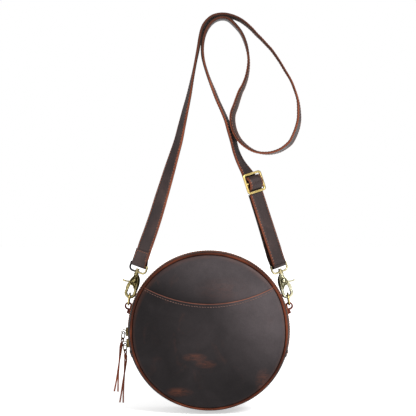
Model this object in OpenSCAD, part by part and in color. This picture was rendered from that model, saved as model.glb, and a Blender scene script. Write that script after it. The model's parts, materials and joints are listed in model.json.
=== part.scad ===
// Round leather crossbody bag: a zip round the top, a slip pocket in front, and a long
// strap looped over a peg. Millimetres, +Z up, the pocket faces -Y.
// The origin is where the strap hangs on the peg.

/* [Bag] */
// Width of the bag across the crest of the gusset
bag_d = 200; // [160:1:240]
// Depth of the bag from the front panel to the back panel
bag_depth = 66; // [60:1:80]
// Thickness of the bag's leather
leather_t = 1.8; // [1.4:0.1:2.2]
// Thickness of the lining
lining_t = 0.8; // [0.5:0.1:1]
// Thickness of the stiffener boards
board_t = 1; // [0.8:0.1:1.2]
// Diameter of the piping
piping_d = 3.4; // [2.8:0.1:4.4]
// How far the piping's centre line lies inside the gusset's crest
piping_step = 6.2; // [5:0.1:7.4]
// How far the gusset bulges between its edges
gusset_bulge = 4.6; // [3.6:0.1:5.4]

/* [Pocket] */
// Radius of the pocket's curved mouth
pocket_r = 159; // [120:1:220]
// Height of the pocket mouth's lowest point over the bag's centre
pocket_low = 32; // [20:1:45]
// Thickness of the pocket's leather
pocket_t = 1.6; // [1.2:0.1:2]

/* [Zip] */
// Angle below level at which the zip ends on each side
zip_end_angle = 14; // [10:1:16]
// How far the zip lies in front of the bag's middle
zip_forward = 8; // [7.5:0.1:9]
// Width of the gap between the two leather strips
zip_gap = 10; // [10:0.1:11]
// How far the tape reaches under each strip
tape_lap = 2; // [1:0.1:4]
// Thickness of the zip tape
tape_t = 0.8; // [0.5:0.1:1]
// Width of the closed teeth
teeth_w = 4; // [3:0.1:4.5]
// Height of the teeth over the tape
teeth_h = 1.8; // [1.4:0.1:2]
// Width of a slider
slider_w = 9; // [8.4:0.1:9.2]
// Length of a slider along the zip
slider_l = 10; // [8:0.1:11]
// Thickness of the slider's top plate
slider_plate_t = 1.4; // [1:0.1:1.8]

/* [Zip pulls] */
// Radius of the lug on a slider
lug_r = 3.1; // [2.9:0.1:3.2]
// Thickness of the lug on a slider
lug_t = 1.6; // [1.2:0.1:1.8]
// Diameter of the wire in a pull ring
pull_wire_d = 1.3; // [1:0.1:1.4]
// Length of a pull ring between its end wires
pull_ring_l = 9.3; // [8:0.1:10]
// Width of a pull ring between its side wires
pull_ring_w = 5.7; // [5.6:0.1:6]
// Width of a thong's lace
lace_w = 2.2; // [1.8:0.1:2.4]
// Thickness of a thong's lace
lace_t = 1.6; // [1.2:0.1:1.8]
// Length of the two hanging laces
lace_l = 50; // [30:1:60]
// Radius of the knot
knot_r = 2; // [1.8:0.1:2.2]
// Length of the knot
knot_l = 7; // [5:0.1:9]

/* [Tabs and rings] */
// How far the tabs and rings lie behind the bag's middle
tab_back = 7; // [7:0.1:9]
// Width of a leather tab
tab_w = 7; // [5:0.1:8]
// Inner radius of a tab's loop
tab_hole_r = 2.8; // [2.6:0.1:3]
// Thickness of a tab's leather
tab_t = 1.4; // [1.2:0.1:1.6]
// Radius of a ring to the middle of its wire
ring_r = 7.2; // [7.1:0.1:7.5]
// Diameter of a ring's wire
ring_wire_d = 2.3; // [2:0.1:2.4]

/* [Snap hooks] */
// Length from the D-eye's bar to the ring's wire
clip_l = 37.5; // [36:0.5:40]
// Width of the D-eye between its side wires
eye_w = 24; // [23.4:0.1:26]
// Height of the D-eye between its bars
eye_h = 9.5; // [9:0.1:11]
// Diameter of the D-eye's wire
eye_wire_d = 2.5; // [2:0.1:2.6]
// Radius of the swivel post
post_r = 1.35; // [1:0.05:1.5]
// Radius of the hook's loop to the middle of its wire
hook_r = 5.6; // [5.5:0.1:6]
// Diameter of the hook's wire
hook_wire_d = 2.8; // [2.4:0.1:3]
// Thickness of the hook's body
hook_t = 5.2; // [4.8:0.1:6]
// Thickness of the trigger
trigger_t = 2.4; // [2:0.1:2.6]
// Radius of the trigger's pivot pin
pin_r = 0.7; // [0.5:0.05:0.75]

/* [Strap] */
// Width of the strap
strap_w = 20; // [15:0.5:20]
// Thickness of the strap
strap_t = 2.6; // [2:0.1:2.8]
// Length of the flap sewn back at the left end
flap_l = 18; // [12:1:24]

/* [Buckle] */
// Width of the buckle across the strap
buckle_w = 27; // [26.6:0.1:30]
// Length of the buckle along the strap
buckle_l = 26; // [24:0.5:28]
// Width of the buckle's frame bars
buckle_bar_w = 3; // [2.5:0.1:3.2]
// Thickness of the buckle's frame bars
buckle_bar_t = 2.6; // [2:0.1:3]
// Radius of the buckle's corners
buckle_corner_r = 3.4; // [3.2:0.1:5]
// Radius of the buckle's centre bar
centre_bar_r = 1.4; // [1:0.1:1.5]
// How far the strap stands off the buckle's centre bar
bight_lift = 1.2; // [0.3:0.1:2]

/* [Clearances] */
// Gap between pieces that move past each other
move_gap = 0.3; // [0.2:0.05:0.4]
// Gap round a pin or bar that turns in its hole
pin_gap = 0.06; // [0.02:0.01:0.1]
// Slack in the link between a ring and its hook
link_gap = 0.9; // [0.8:0.05:1]

/* [Hidden] */

$fn = 64;
large_fn = 240;
part_fn = 32;
left = -1;
right = 1;
leather = [0.24, 0.2, 0.21];
leather_edge = [0.52, 0.27, 0.17];
brass = [0.62, 0.55, 0.34];
cloth = [0.3, 0.22, 0.17];
card = [0.55, 0.47, 0.38];
dark_tape = [0.12, 0.1, 0.1];
lace_brown = [0.5, 0.25, 0.14];

// A cut runs this far past the face it opens
overrun = bag_d;
// Sewn pieces lie this far apart
seam_gap = 0.2;

// Bag
back_y = bag_depth / 2;
pipe_r = piping_d / 2;
pipe_y = back_y - pipe_r - seam_gap;
pipe_ring_r = bag_d / 2 - piping_step;
panel_r = pipe_ring_r - pipe_r;
board_r = panel_r - leather_t;
gusset_half = pipe_y - pipe_r - seam_gap;
crest_r = bag_d / 2;
arc_r = (pow(gusset_half, 2) + pow(gusset_bulge, 2)) / (2 * gusset_bulge);
pocket_y = back_y + pocket_t;
fold_z = -crest_r * sin(zip_end_angle);
fold_angle = 0.15;

// Zip, with angles counted from +X towards +Z
zip_y = -zip_forward;
zip_from = -zip_end_angle;
zip_to = 180 + zip_end_angle;
stop_angle = 0.6;
teeth_from = zip_from + 2 * stop_angle;
teeth_to = zip_to - 2 * stop_angle;
teeth_low_r = crest_r - leather_t;
teeth_top_r = teeth_low_r + teeth_h;
teeth_parting = 0.1;
slider_wall_t = 1;
slider_low_r = teeth_low_r + move_gap;
slider_roof_r = teeth_top_r + move_gap;
slider_top_r = slider_roof_r + slider_plate_t;
slider_angle = slider_l / crest_r * 180 / PI;
slider_lower_angle = 188.5;
slider_upper_angle = 180.5;
lug_rim = 0.8;
lug_hole_r = lug_r - lug_rim;
lug_centre_r = slider_top_r + lug_r - slider_plate_t / 3;

// Zip pulls: leans are from straight down, outwards first and then sideways
pull_lean_angles = [[-3, 6, 14], [10, 6, -18]];
pull_turn_angle = 38;
lace_spread_angle = 2.4;

// Tabs and rings: a tab's loop stands on the gusset, and the ring is drawn up in it
ring_lean_angle = 8;
tab_angle = 16.6;
tab_foot_angle = 8.5;
tab_centre_r = crest_r + tab_hole_r + tab_t - seam_gap;
tab_z = tab_centre_r * sin(tab_angle);
ring_wire_r = ring_wire_d / 2;
ring_foot_z = tab_z + tab_hole_r - ring_wire_r - move_gap;
link_rise = 2 * ring_r;
link_z = ring_foot_z + link_rise * cos(ring_lean_angle);

// Snap hooks: s runs down from the D-eye's bar and out runs away from the bag
clip_lean_angle = 18;
hook_wire_r = hook_wire_d / 2;
eye_wire_r = eye_wire_d / 2;
eye_corner_r = eye_h / 2;
boss_r = 2.7;
boss_h = 4.6;
post_head_r = 2.2;
post_head_h = 1.4;
collar_r = 3;
collar_h = 1.6;
loop_s = clip_l + ring_wire_r + link_gap + hook_wire_r - hook_r;
body_s = loop_s - 2.6 * hook_r;
body_r = 4.6;
pivot_out = 2.4;
pivot_s = body_s + body_r / 2;
knuckle_r = 2.3;
gate_tip_out = hook_r;
gate_tip_s = loop_s - 0.8 * hook_wire_r;
gate_w = 2;
slot_end_s = body_s + 2 * body_r;
nose_angle = 6;
lever_out = 13.1;
lever_drop = 1.4;
lever_s = pivot_s + lever_drop;
lever_w = 1.5;
rivet_r = 1.9;
spring_wire_d = 0.25;
spring_turns = 2;
spring_r = pin_r + spring_wire_d;
spring_hole_r = spring_r + spring_wire_d;
spring_l = 1.4;

// Strap route: x and z as shares of the bag's width, and the turn of its face to the front
strap_shares = [
  [-0.3580, 0.6190, 59], [-0.3275, 0.7115, 56], [-0.2995, 0.8045, 53], [-0.2715, 0.8970, 48],
  [-0.2440, 0.9895, 43], [-0.2160, 1.0820, 36], [-0.1885, 1.1745, 30], [-0.1670, 1.2675, 25],
  [-0.1455, 1.3600, 20], [-0.1235, 1.4525, 14], [-0.1050, 1.5450, 8], [-0.0865, 1.6375, 3],
  [-0.0680, 1.7305, 1], [-0.0500, 1.8300, 0], [-0.0325, 1.8825, 0], [-0.0025, 1.9200, 0],
  [0.0350, 1.9430, 0], [0.0875, 1.9510, 0], [0.1425, 1.9420, 0], [0.1910, 1.9225, 0],
  [0.2280, 1.8975, 0], [0.2650, 1.8650, 1], [0.2965, 1.8310, 2], [0.3240, 1.8045, 3],
  [0.3645, 1.7610, 4], [0.3920, 1.7305, 4], [0.4355, 1.6685, 5], [0.4725, 1.6070, 5],
  [0.5095, 1.5450, 6], [0.5340, 1.4835, 6], [0.5525, 1.4215, 7], [0.5590, 1.3600, 11],
  [0.5585, 1.2980, 14], [0.5435, 1.2365, 16], [0.5155, 1.1745, 15], [0.4880, 1.1440, 12],
  [0.4450, 1.1150, 8], [0.3950, 1.0985, 4], [0.3450, 1.0950, 0], [0.2900, 1.1050, -5],
  [0.2400, 1.1315, -9], [0.1925, 1.1750, -13], [0.1610, 1.2300, -16], [0.1470, 1.2900, -17],
  [0.1490, 1.3400, -17], [0.1670, 1.3910, -16], [0.1940, 1.4700, -13], [0.2160, 1.5140, -10],
  [0.2365, 1.5750, -7], [0.2470, 1.6500, -4], [0.2430, 1.7150, -2], [0.2275, 1.7800, 0],
  [0.2025, 1.8375, 0], [0.1700, 1.8800, 0], [0.1250, 1.9230, 0], [0.0875, 1.9335, 0],
  [0.0500, 1.9260, 0], [0.0150, 1.9025, 0], [-0.0125, 1.8650, 0], [-0.0315, 1.8150, 0],
  [-0.0400, 1.7550, 0], [-0.0380, 1.7000, 0], [-0.0280, 1.6500, 2], [-0.0130, 1.6000, 4],
  [0.0065, 1.5450, 6], [0.0310, 1.4835, 9], [0.0555, 1.4215, 10], [0.0835, 1.3600, 11],
  [0.1100, 1.2980, 13], [0.1300, 1.2365, 17], [0.1515, 1.1745, 22]];
strap_steps = 2;
strap_r = strap_t / 2;
left_turn_angle = 62;
right_turn_angle = 56;
bar_hole_r = eye_wire_r + pin_gap;
fold_n = bar_hole_r + strap_r;
fold_close = 3.2 * fold_n;
buckle_up_share = 0.53;
buckle_up = bag_d * buckle_up_share;
straight_up = buckle_up + 0.64 * buckle_l;
strap_back = 2 * fold_n;
strap_bow = 2;
strap_top_turn_angle = 40;
return_gap = 0.4;
flap_t = 1.6;

// Buckle
buckle_n = strap_r + move_gap + buckle_bar_t / 2;
bight_low_n = strap_r + move_gap;
bight_top_n = buckle_n + centre_bar_r + bight_lift + strap_t;
bight_half = buckle_l / 2 - buckle_bar_w - move_gap;
bight_rise = bight_top_n - bight_low_n;
bight_r = (pow(bight_half, 2) + pow(bight_rise, 2)) / (2 * bight_rise);
bight_w = min(strap_w, buckle_w - 2 * buckle_bar_w - 2 * move_gap);

// Hanging point, under the strap where it crosses the peg
hang_x_share = 0.0875;
hang_z_share = 1.9335;
hang = [bag_d * hang_x_share, tab_back, bag_d * hang_z_share - strap_r];

// Joint places, printed for the record
function ring_foot(side) = side * tab_centre_r * cos(tab_angle);
function link_x(side) = ring_foot(side) - side * link_rise * sin(ring_lean_angle);
function clip_down(side) = [side * sin(clip_lean_angle), -cos(clip_lean_angle)];
function eye_turn(side) = 90 - (side < 0 ? left_turn_angle : right_turn_angle);
function clip_top(side) = [link_x(side), link_z] - clip_l * clip_down(side);

// Smooth curve through hand-chosen points
function mix(a, b, c, d, u) = (2 * b + (c - a) * u + (2 * a - 5 * b + 4 * c - d) * u * u
  + (3 * b - a - 3 * c + d) * u * u * u) / 2;
function smooth(p, n) = concat([for (i = [0 : len(p) - 2], k = [0 : n - 1])
  mix(p[max(i - 1, 0)], p[i], p[i + 1], p[min(i + 2, len(p) - 1)], k / n)],
  [p[len(p) - 1]]);

// Frame of the strap at a point: along, across and out of its outer face
function unit(v) = v / norm(v);
function along(p, i) = let(a = p[max(i - 1, 0)], b = p[min(i + 1, len(p) - 1)])
  unit([b[0] - a[0], 0, b[1] - a[1]]);
function outward(t, turn) = cos(turn) * [-t[2], 0, t[0]] + sin(turn) * [0, -1, 0];
function across(t, turn) = cross(t, outward(t, turn));
function ring_of(p, i, w, h) = let(t = along(p, i), n = outward(t, p[i][2]),
  a = across(t, p[i][2]), c = [p[i][0], 0, p[i][1]] + p[i][3] * n)
  [c - a * w / 2 - n * h / 2, c + a * w / 2 - n * h / 2,
   c + a * w / 2 + n * h / 2, c - a * w / 2 + n * h / 2];

// The strap's left end starts over the D-eye's bar, with the fold behind the bar
left_run = [-clip_down(left)[0], 0, -clip_down(left)[1]];
right_run = [clip_down(right)[0], 0, clip_down(right)[1]];
left_bar = [clip_top(left)[0], 0, clip_top(left)[1]];
right_bar = [clip_top(right)[0], 0, clip_top(right)[1]];
function left_at(s, off) = [left_bar[0] + s * left_run[0], left_bar[2] + s * left_run[2],
  left_turn_angle, off];
function right_at(s, off) = [right_bar[0] - s * right_run[0], right_bar[2] - s * right_run[2],
  right_turn_angle, off];
strap_last = let(k = strap_shares[len(strap_shares) - 1]) [bag_d * k[0], bag_d * k[1], k[2], 0];
strap_top = let(k = right_at(straight_up, fold_n - strap_back))
  [k[0], k[1], strap_top_turn_angle, k[3]];
strap_way = strap_top - strap_last;
strap_route = smooth(concat(
  [for (k = [fold_close, flap_l, 2 * flap_l - fold_close]) left_at(k, 0)],
  [for (k = strap_shares) [bag_d * k[0], bag_d * k[1], k[2], 0]],
  [for (u = [1 / 3, 2 / 3]) strap_last + [u * strap_way[0], u * strap_way[1],
    pow(u, 3) * strap_way[2], u * strap_way[3] - strap_bow]],
  [strap_top, right_at(buckle_up + buckle_l / 4, fold_n - strap_back / 2)],
  [for (k = [buckle_up - buckle_l / 4, buckle_up - buckle_l, 0]) right_at(k, fold_n)]),
  strap_steps);
return_top = buckle_up - buckle_l / 2 - seam_gap;
return_n = fold_n - strap_t - return_gap;
return_shares = [[1, 0], [0.6, 0.35], [0.32, 0.9], [0.14, 1.4], [0.05, 1.15]];
return_route = smooth(concat([for (k = return_shares)
  right_at(return_top * k[0], return_n - fold_n * k[1])], [right_at(0, -fold_n)]), strap_steps);

module ribbon(p, w, h) {
  n = len(p);
  points = [for (i = [0 : n - 1]) each ring_of(p, i, w, h)];
  sides = [for (i = [0 : n - 2], k = [0 : 3]) let(a = 4 * i + k, b = 4 * i + (k + 1) % 4)
    each [[a, b, b + 4], [a, b + 4, a + 4]]];
  last = 4 * (n - 1);
  polyhedron(points, concat(sides, [[0, 2, 1], [0, 3, 2]],
    [[last, last + 1, last + 2], [last, last + 2, last + 3]]));
}

// Moves the whole bag so that the origin is the hanging point
module placed() {
  translate(-hang) children();
}

// Turns a profile of radius and depth about the bag's axis, between two angles
module swept(from, to) {
  rotate([90, 0, 0]) rotate([0, 0, from]) rotate_extrude(angle = to - from, $fn = large_fn)
    children();
}

// Profile of a curved band of the gusset, from one depth to another, below the outer arc
module rim(y0, y1, below, t) {
  intersection() {
    translate([crest_r - arc_r, 0]) difference() {
      circle(r = arc_r - below, $fn = large_fn);
      circle(r = arc_r - below - t, $fn = large_fn);
    }
    translate([crest_r / 2, -y1]) square([crest_r, y1 - y0]);
  }
}

// Profile of a flat ring section, from one radius to another
module rail(y0, y1, r0, r1) {
  translate([r0, -y1]) square([r1 - r0, y1 - y0]);
}

module disc(r, y0, y1) {
  translate([0, y1, 0]) rotate([90, 0, 0]) cylinder(r = r, h = y1 - y0, $fn = large_fn);
}

module above_fold() {
  intersection() {
    children();
    translate([-overrun, -overrun, fold_z + seam_gap / 2]) cube(2 * overrun);
  }
}

module below_fold() {
  intersection() {
    children();
    translate([-overrun, -overrun, fold_z - seam_gap / 2 - 2 * overrun]) cube(2 * overrun);
  }
}

// Back shell
module back_panel() {
  color(leather) placed() disc(panel_r, back_y - leather_t, back_y);
}
module back_board() {
  color(card) placed() disc(board_r, back_y - leather_t - board_t, back_y - leather_t);
}
module back_lining() {
  y = back_y - leather_t - board_t;
  color(cloth) placed() disc(board_r, y - lining_t, y);
}
module piping() {
  rotate([90, 0, 0]) rotate_extrude($fn = large_fn) translate([pipe_ring_r, 0])
    circle(r = pipe_r, $fn = part_fn);
}
module back_piping() {
  color(leather_edge) placed() translate([0, pipe_y, 0]) piping();
}
module lower_gusset() {
  color(leather) placed() swept(zip_to, 360 + zip_from)
    rim(-gusset_half, gusset_half, 0, leather_t);
}
module gusset_lining() {
  color(cloth) placed() swept(zip_to, 360 + zip_from)
    rim(-gusset_half, gusset_half, leather_t, lining_t);
}
module zip_strip_back() {
  color(leather) placed() swept(zip_from, zip_to)
    rim(zip_y + zip_gap / 2, gusset_half, 0, leather_t);
}
module zip_tape_back() {
  color(dark_tape) placed() swept(zip_from, zip_to)
    rim(zip_y + teeth_parting / 2, zip_y + zip_gap / 2 + tape_lap, leather_t, tape_t);
}
module zip_teeth_back() {
  color(brass) placed() swept(teeth_from, teeth_to)
    rail(zip_y + teeth_parting / 2, zip_y + teeth_w / 2, teeth_low_r, teeth_top_r);
}
module zip_stops() {
  color(brass) placed() for (a = [zip_from + stop_angle / 2, zip_to - 3 * stop_angle / 2])
    swept(a, a + stop_angle)
      rail(zip_y + teeth_parting / 2, zip_y + teeth_w / 2, teeth_low_r, teeth_top_r);
}

// Front shell, in a lower part that stays and an upper part that folds forward
module front_panel() {
  disc(panel_r, -back_y, -back_y + leather_t);
}
module front_board() {
  disc(board_r, -back_y + leather_t, -back_y + leather_t + board_t);
}
module front_lining() {
  y = -back_y + leather_t + board_t;
  disc(board_r, y, y + lining_t);
}
module pocket() {
  difference() {
    disc(panel_r, -pocket_y, -back_y);
    translate([0, 0, pocket_low + pocket_r]) disc(pocket_r, -pocket_y - overrun, overrun);
  }
}
module front_piping() {
  translate([0, -pipe_y, 0]) piping();
}
module front_panel_lower() {
  color(leather) placed() below_fold() front_panel();
}
module front_board_lower() {
  color(card) placed() below_fold() front_board();
}
module front_lining_lower() {
  color(cloth) placed() below_fold() front_lining();
}
module pocket_lower() {
  color(leather) placed() below_fold() pocket();
}
module front_piping_lower() {
  color(leather_edge) placed() below_fold() front_piping();
}
module front_panel_upper() {
  color(leather) placed() above_fold() front_panel();
}
module front_board_upper() {
  color(card) placed() above_fold() front_board();
}
module front_lining_upper() {
  color(cloth) placed() above_fold() front_lining();
}
module pocket_upper() {
  color(leather) placed() above_fold() pocket();
}
module front_piping_upper() {
  color(leather_edge) placed() above_fold() front_piping();
}
module zip_strip_front() {
  color(leather) placed() above_fold() swept(zip_from + fold_angle, zip_to - fold_angle)
    rim(-gusset_half, zip_y - zip_gap / 2, 0, leather_t);
}
module zip_tape_front() {
  color(dark_tape) placed() above_fold() swept(zip_from + fold_angle, zip_to - fold_angle)
    rim(zip_y - zip_gap / 2 - tape_lap, zip_y - teeth_parting / 2, leather_t, tape_t);
}
module zip_teeth_front() {
  color(brass) placed() swept(teeth_from, teeth_to)
    rail(zip_y - teeth_w / 2, zip_y - teeth_parting / 2, teeth_low_r, teeth_top_r);
}

// Sliders: a channel over the teeth, with a lug that carries the pull
module slider(angle) {
  w = slider_w / 2;
  swept(angle - slider_angle / 2, angle + slider_angle / 2) difference() {
    rail(zip_y - w, zip_y + w, slider_low_r, slider_top_r);
    translate([slider_low_r - overrun, -zip_y - w + slider_wall_t])
      square([overrun + slider_roof_r - slider_low_r, slider_w - 2 * slider_wall_t]);
  }
  translate([lug_centre_r * cos(angle), zip_y + lug_t / 2, lug_centre_r * sin(angle)])
    rotate([90, 0, 0]) difference() {
      cylinder(r = lug_r, h = lug_t);
      translate([0, 0, -lug_t]) cylinder(r = lug_hole_r, h = 3 * lug_t);
    }
}
module slider_lower() {
  color(brass) placed() slider(slider_lower_angle);
}
module slider_upper() {
  color(brass) placed() slider(slider_upper_angle);
}

// Places a pull at its slider's lug, hanging along -Z
module at_lug(which) {
  a = which == 0 ? slider_lower_angle : slider_upper_angle;
  lean = pull_lean_angles[which];
  translate([lug_centre_r * cos(a), zip_y, lug_centre_r * sin(a)])
    rotate([lean[2], lean[0], 0]) children();
}
module half_ring(r, wire, up) {
  rotate([up > 0 ? 90 : -90, 0, 0]) rotate_extrude(angle = 180) translate([r, 0])
    circle(r = wire, $fn = part_fn);
}
module pull_ring(which) {
  r = pull_ring_w / 2;
  side_l = pull_ring_l - 2 * r;
  at_lug(which) rotate([0, 0, 90 - pull_turn_angle]) translate([0, 0, -r]) {
    half_ring(r, pull_wire_d / 2, 1);
    translate([0, 0, -side_l]) half_ring(r, pull_wire_d / 2, -1);
    for (x = [-r, r]) translate([x, 0, -side_l]) cylinder(d = pull_wire_d, h = side_l);
  }
}
module pull_ring_lower() {
  color(brass) placed() pull_ring(0);
}
module pull_ring_upper() {
  color(brass) placed() pull_ring(1);
}
module thong(which) {
  loop_r = pull_wire_d / 2 + seam_gap + lace_t / 2;
  knot_top = pull_ring_l + loop_r;
  lean = pull_lean_angles[which];
  at_lug(which) {
    translate([0, 0, -pull_ring_l]) rotate([0, 0, -pull_turn_angle]) rotate([90, 0, 0])
      rotate_extrude() translate([loop_r, 0]) circle(d = lace_t, $fn = part_fn);
    translate([0, 0, -knot_top - knot_l]) cylinder(r = knot_r, h = knot_l);
    translate([0, 0, -knot_top - knot_l]) rotate([-lean[2], lean[1] - lean[0], 0])
      for (s = [-1, 1]) rotate([0, s * lace_spread_angle, 0]) translate([s * lace_w / 2, 0, 0])
        translate([-lace_w / 2, -lace_t / 2, -lace_l]) cube([lace_w, lace_t, lace_l]);
  }
}
module thong_lower() {
  color(lace_brown) placed() thong(0);
}
module thong_upper() {
  color(lace_brown) placed() thong(1);
}

// Places a ring's frame at the wire that lies in the tab, rising along +Z
module at_ring_foot(side) {
  translate([ring_foot(side), tab_back, ring_foot_z]) rotate([0, -side * ring_lean_angle, 0])
    children();
}
module ring(side, wire_r) {
  at_ring_foot(side) translate([0, 0, ring_r]) rotate([0, 90, 0])
    rotate_extrude($fn = 2 * $fn) translate([ring_r, 0]) circle(r = wire_r, $fn = part_fn);
}
module ring_left() {
  color(brass) placed() ring(left, ring_wire_r);
}
module ring_right() {
  color(brass) placed() ring(right, ring_wire_r);
}
module tab() {
  r = tab_hole_r + tab_t;
  difference() {
    union() {
      translate([ring_foot(right), tab_back + tab_w / 2, tab_z]) rotate([90, 0, 0])
        cylinder(r = r, h = tab_w);
      translate([0, tab_back, 0]) swept(tab_foot_angle, 2 * tab_foot_angle)
        rail(-tab_w / 2, tab_w / 2, crest_r, crest_r + tab_t);
    }
    translate([ring_foot(right), tab_back + tab_w, tab_z]) rotate([90, 0, 0])
      cylinder(r = tab_hole_r, h = 2 * tab_w);
    ring(right, ring_wire_r + move_gap);
    translate([0, tab_back + tab_w, 0]) rotate([90, 0, 0])
      cylinder(r = crest_r + pin_gap, h = 2 * tab_w, $fn = large_fn);
  }
}
module tab_left() {
  color(leather_edge) placed() mirror([1, 0, 0]) tab();
}
module tab_right() {
  color(leather_edge) placed() tab();
}

// Snap hooks, drawn with s down -Z and out along +X, and mirrored on the left
module at_clip(side) {
  at = clip_top(side);
  translate([at[0], tab_back, at[1]]) rotate([0, -side * clip_lean_angle, 0])
    mirror([side < 0 ? 1 : 0, 0, 0]) children();
}
module quarter_bend(r, wire, from) {
  rotate([90, 0, 0]) rotate([0, 0, from]) rotate_extrude(angle = 90) translate([r, 0])
    circle(r = wire, $fn = part_fn);
}
module eye(side) {
  half = eye_w / 2;
  straight = half - eye_corner_r;
  side_l = eye_h - eye_corner_r;
  at_clip(side) {
    rotate([0, 0, eye_turn(side)]) {
      translate([-half, 0, 0]) rotate([0, 90, 0]) cylinder(r = eye_wire_r, h = eye_w);
      for (x = [-half, half]) {
        translate([x, 0, 0]) sphere(r = eye_wire_r);
        translate([x, 0, -side_l]) cylinder(r = eye_wire_r, h = side_l);
      }
      translate([straight, 0, -side_l]) quarter_bend(eye_corner_r, eye_wire_r, 270);
      translate([-straight, 0, -side_l]) quarter_bend(eye_corner_r, eye_wire_r, 180);
    }
    difference() {
      union() {
        rotate([0, 0, eye_turn(side)]) translate([-straight, 0, -eye_h]) rotate([0, 90, 0])
          cylinder(r = eye_wire_r, h = 2 * straight);
        translate([0, 0, -eye_h - boss_h / 2]) cylinder(r = boss_r, h = boss_h);
      }
      translate([0, 0, -eye_h - boss_h]) cylinder(r = post_r + pin_gap, h = 2 * boss_h);
    }
  }
}
module eye_left() {
  color(brass) placed() eye(left);
}
module eye_right() {
  color(brass) placed() eye(right);
}

// Plate of the hook's thickness, drawn in out and s
module hook_plate(t) {
  translate([0, t / 2, 0]) rotate([90, 0, 0]) linear_extrude(t) children();
}
module hook_body() {
  top_s = eye_h + boss_h / 2 + move_gap;
  head_s = eye_h - boss_h / 2 - move_gap - post_head_h;
  translate([0, 0, -top_s - collar_h]) cylinder(r = collar_r, h = collar_h);
  translate([0, 0, -top_s - collar_h / 2]) cylinder(r = post_r, h = top_s - head_s);
  translate([0, 0, -head_s - post_head_h]) cylinder(r = post_head_r, h = post_head_h);
  difference() {
    union() {
      hook_plate(hook_t) {
        translate([-post_head_r, -body_s]) square([2 * post_head_r, body_s - top_s - collar_h / 2]);
        translate([0, -body_s]) circle(r = body_r);
      }
      hook_plate(hook_wire_d) polygon([[-body_r, -body_s], [hook_wire_r, -body_s - body_r / 2],
        [-hook_wire_r, -loop_s + hook_r - hook_wire_r], [-hook_r, -loop_s],
        [-hook_r - hook_wire_r, -loop_s]]);
      translate([-body_r / 4, hook_t / 2, -body_s]) sphere(r = rivet_r);
      translate([-body_r / 4, -hook_t / 2, -body_s]) sphere(r = rivet_r);
    }
    translate([-hook_wire_r / 2, -trigger_t / 2 - move_gap, -slot_end_s])
      cube([3 * body_r, trigger_t + 2 * move_gap, slot_end_s - pivot_s + knuckle_r + move_gap]);
    translate([pivot_out, hook_t, -pivot_s]) rotate([90, 0, 0]) cylinder(r = pin_r, h = 2 * hook_t);
  }
  translate([0, 0, -loop_s]) rotate([90, 0, 0]) rotate([0, 0, 180])
    rotate_extrude(angle = 180 + nose_angle) translate([hook_r, 0])
      circle(r = hook_wire_r, $fn = part_fn);
}
module hook_left() {
  color(brass) placed() at_clip(left) hook_body();
}
module hook_right() {
  color(brass) placed() at_clip(right) hook_body();
}

module bar_2d(a, b, w) {
  d = b - a;
  translate(a) rotate(atan2(d[1], d[0])) translate([0, -w / 2]) square([norm(d), w]);
}
module trigger_body() {
  pivot = [pivot_out, -pivot_s];
  difference() {
    hook_plate(trigger_t) {
      translate(pivot) circle(r = knuckle_r);
      bar_2d(pivot, [gate_tip_out, -gate_tip_s], gate_w);
      bar_2d(pivot, [lever_out, -lever_s], lever_w);
      translate([lever_out, -lever_s]) circle(d = lever_w);
    }
    translate([pivot_out, trigger_t, -pivot_s]) rotate([90, 0, 0])
      cylinder(r = pin_r + pin_gap, h = 2 * trigger_t);
    translate([pivot_out, spring_l / 2, -pivot_s]) rotate([90, 0, 0])
      cylinder(r = spring_hole_r, h = spring_l);
  }
}
module trigger_left() {
  color(brass) placed() at_clip(left) trigger_body();
}
module trigger_right() {
  color(brass) placed() at_clip(right) trigger_body();
}
module trigger_pin_body() {
  translate([pivot_out, hook_t / 2, -pivot_s]) rotate([90, 0, 0]) cylinder(r = pin_r, h = hook_t);
}
module trigger_pin_left() {
  color(brass) placed() at_clip(left) trigger_pin_body();
}
module trigger_pin_right() {
  color(brass) placed() at_clip(right) trigger_pin_body();
}

// Coil round the pin, as one tube of square section
module trigger_spring_body() {
  n = 8 * spring_turns;
  rise = spring_l - 2 * spring_wire_d;
  h = spring_wire_d / 2;
  function at(i, r, z) = [r * cos(45 * i), r * sin(45 * i), rise * (i / n - 1 / 2) + z];
  points = [for (i = [0 : n]) each [at(i, spring_r - h, -h), at(i, spring_r + h, -h),
    at(i, spring_r + h, h), at(i, spring_r - h, h)]];
  sides = [for (i = [0 : n - 1], k = [0 : 3]) let(a = 4 * i + k, b = 4 * i + (k + 1) % 4)
    each [[a, b + 4, b], [a, a + 4, b + 4]]];
  last = 4 * n;
  translate([pivot_out, 0, -pivot_s]) rotate([90, 0, 0])
    polyhedron(points, concat(sides, [[0, 1, 2], [0, 2, 3]],
      [[last, last + 2, last + 1], [last, last + 3, last + 2]]));
}
module trigger_spring_left() {
  color(brass) placed() at_clip(left) trigger_spring_body();
}
module trigger_spring_right() {
  color(brass) placed() at_clip(right) trigger_spring_body();
}

// Strap
module strap_long() {
  color(leather) placed() translate([0, tab_back, 0])
    ribbon(strap_route, strap_w, strap_t);
}
module strap_return() {
  color(leather) placed() translate([0, tab_back, 0])
    ribbon(return_route, strap_w, strap_t);
}

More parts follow.
